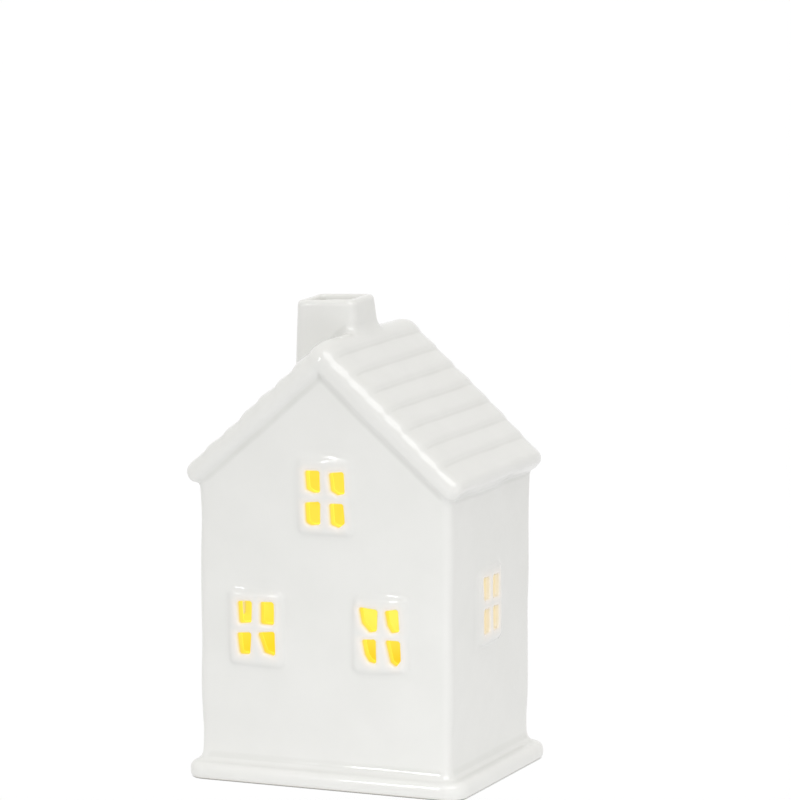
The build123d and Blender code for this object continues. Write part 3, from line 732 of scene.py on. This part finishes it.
def mesh_object(name, points, faces, normals, marks):
    """A smooth mesh with its own normals and point marks, placed in metres."""
    mesh = bpy.data.meshes.new(name)
    mesh.from_pydata((points * MM).tolist(), [], faces)
    mesh.polygons.foreach_set("use_smooth", [True] * len(mesh.polygons))
    for mark, values in marks.items():
        attribute = mesh.attributes.new(mark, "FLOAT", "POINT")
        attribute.data.foreach_set("value", values.astype(np.float32))
    mesh.normals_split_custom_set_from_vertices(normals.tolist())
    piece = bpy.data.objects.new(name, mesh)
    bpy.context.scene.collection.objects.link(piece)
    return piece


def glazed_piece(house, node, name, step):
    """One ceramic piece: its own part of the joined skin, running on a little under its neighbours."""
    low, high = house.boxes[node]
    grid = Grid(low - MESH_MARGIN, high + MESH_MARGIN, step)
    skin = house.skin(grid)
    distance, _ = house.parts[node]
    own = np.broadcast_to(distance(*grid.points()), grid.shape)
    past_seam = np.maximum((own - house.others(grid, node)) / 2, 0.0)
    points, triangles, squares = grid.surface(np.maximum(skin + TUCK_SLOPE * past_seam, own - TUCK_REACH))
    slope, bend = grid.slope_and_bend(skin, points, max(LEAST_REACH, 2 * step))
    faces = triangles.tolist() + squares.tolist()
    piece = mesh_object(name, points, faces, slope, house.marks(points, bend))
    piece.data.materials.append(bpy.data.materials[CERAMIC_SLOT])
    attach(piece, CERAMIC_BODY)
    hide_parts(node)


# Materials


def blank_tree(owner, output):
    """Clears the nodes of a material or the world, and gives the socket that its surface goes to."""
    owner.use_nodes = True
    tree = owner.node_tree
    tree.nodes.clear()
    return tree, tree.nodes.new(output).inputs["Surface"]


def new_material(name):
    """A material with nothing but its surface shader."""
    material = bpy.data.materials.new(name)
    tree, end = blank_tree(material, "ShaderNodeOutputMaterial")
    surface = tree.nodes.new("ShaderNodeBsdfPrincipled")
    tree.links.new(surface.outputs["BSDF"], end)
    return material, tree, surface


def place(tree, kind, inputs=None, **values):
    """A node with its settings, constants and links."""
    made = tree.nodes.new(kind)
    for key, value in values.items():
        setattr(made, key, value)
    for key, value in (inputs or {}).items():
        socket = made.inputs[key]
        if isinstance(value, bpy.types.NodeSocket):
            tree.links.new(value, socket)
        else:
            socket.default_value = value
    return made


def rgba(value):
    """A panel colour as a socket takes it."""
    return (*value, 1.0)


def coordinates(tree, kind):
    """Places on the surface, in the object's own frame or as a share of its box."""
    return place(tree, "ShaderNodeTexCoord").outputs[kind]


def noise(tree, at, scale, detail=2.0):
    """Cloudy noise, with its scale in cells per metre."""
    return place(tree, "ShaderNodeTexNoise", {"Vector": at, "Scale": scale, "Detail": detail}).outputs["Fac"]


def mixed(tree, share, first, second):
    """A colour between two colours."""
    return place(tree, "ShaderNodeMix", {0: share, 6: first, 7: second}, data_type="RGBA").outputs[2]


def between(tree, share, first, second):
    """A value between two values."""
    return place(tree, "ShaderNodeMix", {0: share, 2: first, 3: second}).outputs[0]


def ranged(tree, value, low, high, to_low=0.0, to_high=1.0):
    """A value carried from one range to another."""
    made = place(tree, "ShaderNodeMapRange", {"Value": value, "From Min": low, "From Max": high,
                                              "To Min": to_low, "To Max": to_high})
    return made.outputs["Result"]


def combined(tree, operation, first, second, clamped=False):
    """Two values added, multiplied or compared."""
    made = place(tree, "ShaderNodeMath", {0: first, 1: second}, operation=operation, use_clamp=clamped)
    return made.outputs[0]


def distance_to(tree, at, point):
    """Distance of a place from a point."""
    return place(tree, "ShaderNodeVectorMath", {0: at, 1: point}, operation="DISTANCE").outputs["Value"]


def relief(tree, height, strength, depth):
    """A normal that follows a fine relief."""
    made = place(tree, "ShaderNodeBump", {"Height": height, "Strength": strength, "Distance": depth})
    return made.outputs["Normal"]


# White glaze. A range holds where an effect begins and is full and, if not 0 and 1, its shares there.
# Glaze pooling in hollows, with painted shade, and thinning over edges, with a painted highlight, go by
# the bend of the surface, per millimetre.
CLOUD_SCALE, CLOUD_DETAIL, CLOUD_RANGE = 70.0, 3.0, (0.3, 0.7, 0.0, 0.25)
POOLED_SHADE_RANGE, THIN_HIGHLIGHT_RANGE = (-0.12, -0.85, 0.0, 0.9), (0.1, 0.9, 0.0, 0.8)
TINT_RANGE = (0.0, 1.0, 0.0, 0.6)
LIT_RANGE, REVEAL_RANGE, WARM_RANGE = (0.06, 0.6), (0.0, 0.35), (0.3, 0.8)
RIPPLE_SCALE, RIPPLE_RANGE = 260.0, (0.3, 0.7)
RIPPLE_STRENGTH, RIPPLE_DEPTH = 0.06, 0.4 * MM
SMOOTHER, ROUGHER = 0.02, 0.03
GLAZE_IOR = 1.5
# Painted warm light inside, in metres: the heights between which it pales, its dim patches, and its brightest
# spot, on the back wall.
WARM_HEIGHTS = (0.034, 0.046)
DIM_RANGE = (0.45, 0.7, 0.0, 0.6)
GLOW_SPOT, SPOT_RANGE = (-0.007, 0.03, 0.048), (0.02, 0.008)


def glaze_material(settings, slot):
    """White glaze: thinning on edges and pooling in hollows, with a painted highlight and shade there, bare
    on the foot, and with a painted warm glow inside.
    """
    finish = settings.finish
    material, tree, surface = new_material(slot)
    at = coordinates(tree, "Object")
    bend, glow, bare, spill = (
        place(tree, "ShaderNodeAttribute", attribute_name=mark).outputs["Fac"]
        for mark in ("bend", "glow", "bare", "spill")
    )
    cloud = noise(tree, at, CLOUD_SCALE, CLOUD_DETAIL)
    tone = mixed(tree, ranged(tree, cloud, *CLOUD_RANGE), rgba(finish.glaze), rgba(finish.cloudy))
    # Painted shade: darker where the surface bends inward, partly glaze that pools there.
    tone = mixed(tree, ranged(tree, bend, *POOLED_SHADE_RANGE), tone, rgba(finish.pooled))
    # Painted highlight: lighter where the surface bends outward, partly glaze that thins there.
    tone = mixed(tree, ranged(tree, bend, *THIN_HIGHLIGHT_RANGE), tone, rgba(finish.thin))
    tone = mixed(tree, bare, tone, rgba(finish.bisque))
    # Painted light: clay round a pane tinted warm, as if by the light behind it.
    tone = mixed(tree, ranged(tree, spill, *TINT_RANGE), tone, rgba(finish.warm_clay))
    # Painted light: under the glow the clay takes a dark warm colour, so that the painted glow carries it.
    tone = mixed(tree, ranged(tree, glow, *LIT_RANGE), tone, rgba(finish.lit_wall))
    tree.links.new(tone, surface.inputs["Base Color"])
    ripple = noise(tree, at, RIPPLE_SCALE)
    rough = ranged(tree, ripple, *RIPPLE_RANGE, finish.gloss - SMOOTHER, finish.gloss + ROUGHER)
    tree.links.new(combined(tree, "ADD", rough, bare, clamped=True), surface.inputs["Roughness"])
    tree.links.new(relief(tree, ripple, RIPPLE_STRENGTH, RIPPLE_DEPTH), surface.inputs["Normal"])
    # Painted glow: emission inside and round the panes stands in for the diodes' light.
    height = place(tree, "ShaderNodeSeparateXYZ", {"Vector": at}).outputs["Z"]
    warm = mixed(tree, ranged(tree, height, *WARM_HEIGHTS), rgba(finish.glow_low), rgba(finish.glow_high))
    warm = mixed(tree, ranged(tree, cloud, *DIM_RANGE), warm, rgba(finish.glow_low))
    from_spot = distance_to(tree, at, GLOW_SPOT)
    warm = mixed(tree, ranged(tree, from_spot, *SPOT_RANGE), warm, rgba(finish.glow_spot))
    lit = mixed(tree, spill, BLACK, rgba(finish.spilt))
    lit = mixed(tree, ranged(tree, glow, *REVEAL_RANGE), lit, rgba(finish.reveal))
    lit = mixed(tree, ranged(tree, glow, *WARM_RANGE), lit, warm)
    tree.links.new(lit, surface.inputs["Emission Color"])
    surface.inputs["Emission Strength"].default_value = finish.glow_strength
    surface.inputs["IOR"].default_value = GLAZE_IOR
    return material


SURFACE_INPUTS = (
    ("Colour", "NodeSocketColor", (0.8, 0.8, 0.8, 1.0)),
    ("Shade", "NodeSocketColor", (0.6, 0.6, 0.6, 1.0)),
    ("Roughness", "NodeSocketFloat", 0.4),
)
SURFACE_OUTPUTS = (
    ("Colour", "NodeSocketColor"),
    ("Roughness", "NodeSocketFloat"),
    ("Normal", "NodeSocketVector"),
)
# Finishes of the light unit, with scales in cells per metre and depths in metres.
FLOW_SCALE, FLOW_DETAIL, FLOW_RANGE = 180.0, 3.0, (0.35, 0.7)
FLOW_ROUGHNESS = (0.3, 0.7, -0.05, 0.07)
GRAIN_SCALE, GRAIN_DETAIL, GRAIN_STRENGTH, GRAIN_DEPTH = 4000.0, 1.0, 0.15, 0.05 * MM
LINE_SCALE, LINE_STRETCH, LINE_RANGE = 3500.0, (0.06, 1.0, 1.0), (0.3, 0.75)
LINE_STRENGTH, LINE_DEPTH = 0.1, 0.03 * MM
STAIN_SCALE, STAIN_ROUGHNESS = 320.0, (0.3, 0.7, -0.05, 0.1)
TRACE_SCALE, TRACE_DISTORTION, TRACE_RANGE = 130.0, 1.5, (0.72, 0.8)
PATCH_SCALE, PATCH_RANGE = 150.0, (0.45, 0.5)
# The lens: its chip's place as a share of its box, where its light ends and is full, and its other constants.
CHIP_PLACE, CHIP_RANGE = (0.5, 0.5, 0.35), (0.6, 0.1)
LENS_ROUGHNESS, LENS_CLARITY = 0.12, 0.6


def surface_effect(name, patterns):
    """A node group that tints, roughens and embosses a surface. It is built once."""
    if name in bpy.data.node_groups:
        return bpy.data.node_groups[name]
    group = bpy.data.node_groups.new(name, "ShaderNodeTree")
    for label, kind, value in SURFACE_INPUTS:
        group.interface.new_socket(label, in_out="INPUT", socket_type=kind).default_value = value
    for label, kind in SURFACE_OUTPUTS:
        group.interface.new_socket(label, in_out="OUTPUT", socket_type=kind)
    given, out = group.nodes.new("NodeGroupInput").outputs, group.nodes.new("NodeGroupOutput").inputs
    tint, uneven, normal = patterns(group, coordinates(group, "Object"))
    group.links.new(mixed(group, tint, given["Colour"], given["Shade"]), out["Colour"])
    group.links.new(combined(group, "ADD", given["Roughness"], uneven), out["Roughness"])
    group.links.new(normal, out["Normal"])
    return group


def moulded_grain(tree, at):
    """Soft flow marks and a fine eroded grain, as on moulded plastic."""
    flow = noise(tree, at, FLOW_SCALE, FLOW_DETAIL)
    grain = noise(tree, at, GRAIN_SCALE, GRAIN_DETAIL)
    uneven = ranged(tree, flow, *FLOW_ROUGHNESS)
    return ranged(tree, flow, *FLOW_RANGE), uneven, relief(tree, grain, GRAIN_STRENGTH, GRAIN_DEPTH)


def drawn_lines(tree, at):
    """Fine lines along one way, as on drawn or rolled metal."""
    along = place(tree, "ShaderNodeMapping", {"Vector": at, "Scale": LINE_STRETCH}).outputs["Vector"]
    lines = noise(tree, along, LINE_SCALE)
    uneven = ranged(tree, noise(tree, at, STAIN_SCALE), *STAIN_ROUGHNESS)
    return ranged(tree, lines, *LINE_RANGE), uneven, relief(tree, lines, LINE_STRENGTH, LINE_DEPTH)


COATS = {
    # slot: effect, main colour, shade, roughness, other constants of the shader
    "white_plastic": (moulded_grain, "plastic", "plastic_shade", 0.38, {}),
    "dark_plastic": (moulded_grain, "dark", "dark_shade", 0.42, {}),
    "red_insulation": (moulded_grain, "red", "red_shade", 0.4, {}),
    "clear_silicone": (moulded_grain, "silicone", "silicone_shade", 0.5, {"Transmission Weight": 0.5}),
    "board_green": (moulded_grain, "mask", "mask", 0.3, {}),
    "plated_steel": (drawn_lines, "plated", "plated_shade", 0.26, {"Metallic": 1.0}),
    "cell_steel": (drawn_lines, "cell", "cell_shade", 0.2, {"Metallic": 1.0}),
    "spring_metal": (drawn_lines, "spring", "spring_shade", 0.24, {"Metallic": 1.0}),
}


def coated_material(settings, slot):
    """A material whose colour, roughness and relief come from one effect."""
    patterns, main, shade, roughness, constants = COATS[slot]
    material, tree, surface = new_material(slot)
    coat = place(tree, "ShaderNodeGroup", node_tree=surface_effect(patterns.__name__, patterns))
    coat.inputs["Colour"].default_value = rgba(getattr(settings.unit, main))
    coat.inputs["Shade"].default_value = rgba(getattr(settings.unit, shade))
    coat.inputs["Roughness"].default_value = roughness
    for output, socket in (("Colour", "Base Color"), ("Roughness", "Roughness"), ("Normal", "Normal")):
        tree.links.new(coat.outputs[output], surface.inputs[socket])
    for socket, value in constants.items():
        surface.inputs[socket].default_value = value
    return material


def board_material(settings, slot):
    """Green lacquer with the copper traces showing faintly through it."""
    material = coated_material(settings, slot)
    tree = material.node_tree
    base = tree.nodes["Principled BSDF"].inputs["Base Color"]
    lacquer = base.links[0].from_socket
    at = coordinates(tree, "Object")
    wave = {"Vector": at, "Scale": TRACE_SCALE, "Distortion": TRACE_DISTORTION}
    bands = ranged(tree, place(tree, "ShaderNodeTexWave", wave).outputs["Fac"], *TRACE_RANGE)
    patch = ranged(tree, noise(tree, at, PATCH_SCALE), *PATCH_RANGE)
    trace = combined(tree, "MULTIPLY", bands, patch)
    tree.links.new(mixed(tree, trace, lacquer, rgba(settings.unit.trace)), base)
    return material


def lens_material(settings, slot):
    """Clear warm lens, brightest round the chip at its core."""
    unit = settings.unit
    material, tree, surface = new_material(slot)
    core = ranged(tree, distance_to(tree, coordinates(tree, "Generated"), CHIP_PLACE), *CHIP_RANGE)
    tree.links.new(mixed(tree, core, rgba(unit.lens), rgba(unit.lens_core)), surface.inputs["Base Color"])
    tree.links.new(mixed(tree, core, BLACK, rgba(unit.lens_core)), surface.inputs["Emission Color"])
    surface.inputs["Emission Strength"].default_value = unit.lens_strength
    surface.inputs["Transmission Weight"].default_value = LENS_CLARITY
    surface.inputs["Roughness"].default_value = LENS_ROUGHNESS
    return material


MAKERS = {CERAMIC_SLOT: glaze_material, "board_green": board_material, "warm_lens": lens_material}
SLOT_OF = {part["node"]: part["material_slot"] for part in frame["record"]["subparts"]}


def settings_of(context):
    """The house's settings in a scene."""
    return context.scene.village_house


def material_of(context, slot):
    """The slot's material, made the first time it is asked for."""
    made = bpy.data.materials.get(slot)
    if made and made.get("dressed"):
        return made
    if made:
        made.name = "packed_" + slot
    made = MAKERS.get(slot, coated_material)(settings_of(context), slot)
    made["dressed"] = True
    return made


def glaze(context, names, mesh):
    """Models ceramic pieces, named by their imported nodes, with one of the mesh sizes."""
    material_of(context, CERAMIC_SLOT)
    house = House(settings_of(context))
    for node, name in names.items():
        glazed_piece(house, node, name, getattr(house.slip, mesh))
    return {"FINISHED"}


def dress(context, *nodes):
    """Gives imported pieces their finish."""
    for node in nodes:
        materials = frame["nodes"][node].data.materials
        materials.clear()
        materials.append(material_of(context, SLOT_OF[node]))
    return {"FINISHED"}


class VILLAGE_OT_walls(bpy.types.Operator):
    """Model the walls and gables with their cut panes"""

    bl_idname = "village.walls"
    bl_label = "Walls"

    def execute(self, context):
        return glaze(context, {"wall_shell": "glazed_walls"}, "wall_mesh")


class VILLAGE_OT_plinth(bpy.types.Operator):
    """Model the plinth and floor"""

    bl_idname = "village.plinth"
    bl_label = "Plinth"

    def execute(self, context):
        return glaze(context, {"base_plinth": "glazed_plinth"}, "wall_mesh")


class VILLAGE_OT_roof(bpy.types.Operator):
    """Model the roof with its softened courses"""

    bl_idname = "village.roof"
    bl_label = "Roof"

    def execute(self, context):
        return glaze(context, {"roof": "glazed_roof"}, "wall_mesh")


class VILLAGE_OT_chimney(bpy.types.Operator):
    """Model the chimney with its sunk flue"""

    bl_idname = "village.chimney"
    bl_label = "Chimney"

    def execute(self, context):
        return glaze(context, {"chimney": "glazed_chimney"}, "chimney_mesh")


class VILLAGE_OT_windows(bpy.types.Operator):
    """Model the raised window frames"""

    bl_idname = "village.windows"
    bl_label = "Windows"

    def execute(self, context):
        return glaze(context, {node: "glazed_" + node for node in HAND_CUTS}, "frame_mesh")


class VILLAGE_OT_case(bpy.types.Operator):
    """Finish the light unit's case, battery door, band and screws"""

    bl_idname = "village.case"
    bl_label = "Light unit case"

    def execute(self, context):
        dress(context, "case_body", "case_floor", "battery_door")
        return dress(context, "grip_band", "case_screws", "door_screw")


class VILLAGE_OT_cells(bpy.types.Operator):
    """Finish the button cells and their contacts"""

    bl_idname = "village.cells"
    bl_label = "Cells and contacts"

    def execute(self, context):
        dress(context, "button_cell_1", "button_cell_2", "button_cell_3")
        return dress(context, "positive_contact", "negative_contact")


class VILLAGE_OT_circuit(bpy.types.Operator):
    """Finish the circuit board, its switch and the wires"""

    bl_idname = "village.circuit"
    bl_label = "Board, switch and wires"

    def execute(self, context):
        dress(context, "circuit_board", "resistor", "switch_body", "switch_slider")
        return dress(context, "red_wire", "black_wire")


class VILLAGE_OT_diodes(bpy.types.Operator):
    """Finish the warm diodes with their legs and sleeves"""

    bl_idname = "village.diodes"
    bl_label = "Diodes"

    def execute(self, context):
        return dress(context, "led_left", "led_right", "led_leads", "lead_sleeves")


class VILLAGE_OT_stage(bpy.types.Operator):
    """Set up the floor, the studio light and the camera"""

    bl_idname = "village.stage"
    bl_label = "Stage"

    def execute(self, context):
        make_floor(context.scene)
        make_world(context.scene)
        make_lamps(context.scene)
        make_camera(context.scene)
        context.scene.view_settings.view_transform = "Standard"
        return {"FINISHED"}


# Stage, in metres and watts

FLOOR_HALF = 15.0
# The floor lies a little below the foot, so that the two don't coincide.
FLOOR_DROP = 0.1 * MM
FLOOR_GREY = (0.82, 0.82, 0.82, 1.0)
# Share of the floor that shines by itself, and its level where it shows.
FLOOR_SHINE = 0.8
FLOOR_LEVEL = 1.12
# Its bounce light: a near and a far distance from the house, and the level at each.
FLOOR_BOUNCE = (0.08, 0.5, 0.76, 0.45)
# How clear it is to the camera.
FLOOR_CLARITY = 0.87
# Its contact shade: reach, samples, and the openness at which the shade ends.
SHADE_REACH, SHADE_SAMPLES, SHADE_END = 0.006, 8, 0.45
# Colour of the light from all round, and its level at the horizon and overhead.
SKY_COLOUR = (1.0, 0.992, 0.97, 1.0)
SKY_LEVELS = (0.68, 1.05)
LAMP_COLOUR = (0.97, 0.985, 1.0)
LAMPS = {
    # name: place, aim, width, height, watts, lights the surface itself or only shows in its gloss
    "near_card": ((0.17, -0.25, 0.04), (0.0, -0.033, 0.05), 0.2, 0.1, 0.13, True),
    "front_box": ((0.1, -1.5, 0.35), (0.0, 0.0, 0.07), 0.9, 0.6, 2.1, True),
    "ceiling": ((0.45, -0.7, 1.25), (0.0, 0.0, 0.1), 1.3, 0.9, 11.0, False),
    "right_card": ((0.75, -1.0, 0.15), (0.0, 0.0, 0.08), 0.35, 0.5, 0.2, False),
    "strip": ((-0.43, -1.069, 0.6), (0.04, 0.0, 0.08), 0.045, 0.3, 1.3, False),
}
CAMERA_PLACE = (0.60936, -1.42897, 0.34047)
CAMERA_WAY = (-0.38296, 0.91277, -0.14214)
# Focal length and sensor width in millimetres, as a camera takes them.
LENS_LENGTH, SENSOR_WIDTH = 225.0, 36.0
CLIP_START, CLIP_END = 0.05, 60.0


def seen_directly(tree):
    """1 for rays that show the background itself: to the camera, in a reflection or through glass."""
    rays = place(tree, "ShaderNodeLightPath").outputs
    first = combined(tree, "ADD", rays["Is Camera Ray"], rays["Is Glossy Ray"], clamped=True)
    return combined(tree, "ADD", first, rays["Is Transmission Ray"], clamped=True)


def mixed_shader(tree, share, first, second):
    """A shader between two shaders."""
    inputs = {0: share, 1: first.outputs[0], 2: second.outputs[0]}
    return place(tree, "ShaderNodeMixShader", inputs)


def floor_material():
    """A pale floor that shines and keeps a faint shadow. The camera sees what is drawn out below it."""
    material = bpy.data.materials.new("studio_floor")
    tree, end = blank_tree(material, "ShaderNodeOutputMaterial")
    spot = place(tree, "ShaderNodeNewGeometry").outputs
    shade = place(tree, "ShaderNodeAmbientOcclusion", {"Distance": SHADE_REACH}, samples=SHADE_SAMPLES)
    open_sky = ranged(tree, shade.outputs["AO"], 0.0, SHADE_END)
    to_camera = place(tree, "ShaderNodeLightPath").outputs["Is Camera Ray"]
    shaded = ranged(tree, open_sky, 0.0, 1.0, 0.0, FLOOR_LEVEL)
    direct = between(tree, to_camera, FLOOR_LEVEL, shaded)
    bounce = ranged(tree, distance_to(tree, spot["Position"], (0.0, 0.0, 0.0)), *FLOOR_BOUNCE)
    level = between(tree, seen_directly(tree), bounce, direct)
    matt = place(tree, "ShaderNodeBsdfDiffuse", {"Color": FLOOR_GREY})
    shine = place(tree, "ShaderNodeEmission", {"Color": WHITE, "Strength": level})
    solid = mixed_shader(tree, FLOOR_SHINE, matt, shine)
    clear = place(tree, "ShaderNodeBsdfTransparent")
    clarity = ranged(tree, open_sky, 0.0, 1.0, 0.0, FLOOR_CLARITY)
    clarity = combined(tree, "MAXIMUM", clarity, spot["Backfacing"])
    seen = mixed_shader(tree, to_camera, solid, mixed_shader(tree, clarity, solid, clear))
    tree.links.new(seen.outputs[0], end)
    return material


def make_floor(scene):
    """One wide square, just below the foot."""
    mesh = bpy.data.meshes.new("studio_floor")
    corners = [(-1, -1), (1, -1), (1, 1), (-1, 1)]
    mesh.from_pydata([(x * FLOOR_HALF, y * FLOOR_HALF, -FLOOR_DROP) for x, y in corners], [], [(0, 1, 2, 3)])
    mesh.materials.append(floor_material())
    floor = bpy.data.objects.new("studio_floor", mesh)
    scene.collection.objects.link(floor)


def make_world(scene):
    """Soft light from all round, brightest overhead, and white behind the house."""
    scene.world = bpy.data.worlds.new("studio")
    tree, end = blank_tree(scene.world, "ShaderNodeOutputWorld")
    up = place(tree, "ShaderNodeSeparateXYZ", {"Vector": coordinates(tree, "Generated")}).outputs["Z"]
    level = ranged(tree, up, 0.0, 1.0, *SKY_LEVELS)
    soft = place(tree, "ShaderNodeBackground", {"Color": SKY_COLOUR, "Strength": level})
    white = place(tree, "ShaderNodeBackground", {"Color": WHITE, "Strength": 1.0})
    tree.links.new(mixed_shader(tree, seen_directly(tree), soft, white).outputs[0], end)


def aim(scene, name, data, spot, way):
    """An object at a place, turned to look along a way."""
    made = bpy.data.objects.new(name, data)
    made.location = spot
    made.rotation_mode = "QUATERNION"
    made.rotation_quaternion = way.to_track_quat("-Z", "Y")
    scene.collection.objects.link(made)
    return made


def make_lamps(scene):
    """A soft key light, and cards that only show in the gloss."""
    for name, (spot, target, width, height, watts, whole) in LAMPS.items():
        lamp = bpy.data.lights.new(name, "AREA")
        lamp.shape = "RECTANGLE"
        lamp.size, lamp.size_y, lamp.energy = width, height, watts
        lamp.color = LAMP_COLOUR
        holder = aim(scene, name, lamp, spot, Vector(target) - Vector(spot))
        holder.visible_diffuse, holder.visible_glossy = whole, not whole


def make_camera(scene):
    """A long lens at the photograph's angle."""
    lens = bpy.data.cameras.new("camera")
    lens.lens, lens.sensor_width = LENS_LENGTH, SENSOR_WIDTH
    lens.clip_start, lens.clip_end = CLIP_START, CLIP_END
    scene.camera = aim(scene, "camera", lens, CAMERA_PLACE, Vector(CAMERA_WAY))


class VILLAGE_PT_panel(bpy.types.Panel):
    """The house's sizes, finishes and build steps"""

    bl_idname = "VILLAGE_PT_panel"
    bl_label = "Village House"
    bl_space_type = "VIEW_3D"
    bl_region_type = "UI"
    bl_category = "Village House"

    def draw(self, context):
        settings = settings_of(context)
        for name in ("walls", "roof", "windows", "slip", "finish", "unit"):
            group = getattr(settings, name)
            box = self.layout.box()
            box.label(text=group.bl_rna.description)
            for key in group.bl_rna.properties.keys():
                if key not in ("rna_type", "name"):
                    box.prop(group, key)
        for operator in OPERATORS:
            self.layout.operator(operator.bl_idname)


GROUPS = (WallSizes, RoofSizes, WindowSizes, SlipSizes, Finish, UnitFinish, HouseSettings)
OPERATORS = (
    VILLAGE_OT_walls,
    VILLAGE_OT_plinth,
    VILLAGE_OT_roof,
    VILLAGE_OT_chimney,
    VILLAGE_OT_windows,
    VILLAGE_OT_case,
    VILLAGE_OT_cells,
    VILLAGE_OT_circuit,
    VILLAGE_OT_diodes,
    VILLAGE_OT_stage,
)
CLASSES = (*GROUPS, *OPERATORS, VILLAGE_PT_panel)


def register():
    for cls in CLASSES:
        bpy.utils.register_class(cls)
    bpy.types.Scene.village_house = bpy.props.PointerProperty(type=HouseSettings)


def unregister():
    del bpy.types.Scene.village_house
    for cls in reversed(CLASSES):
        bpy.utils.unregister_class(cls)


def main():
    register()
    for operator in OPERATORS:
        section, name = operator.bl_idname.split(".")
        getattr(getattr(bpy.ops, section), name)()
    bpy.context.view_layer.update()


if __name__ == "__main__":
    main()
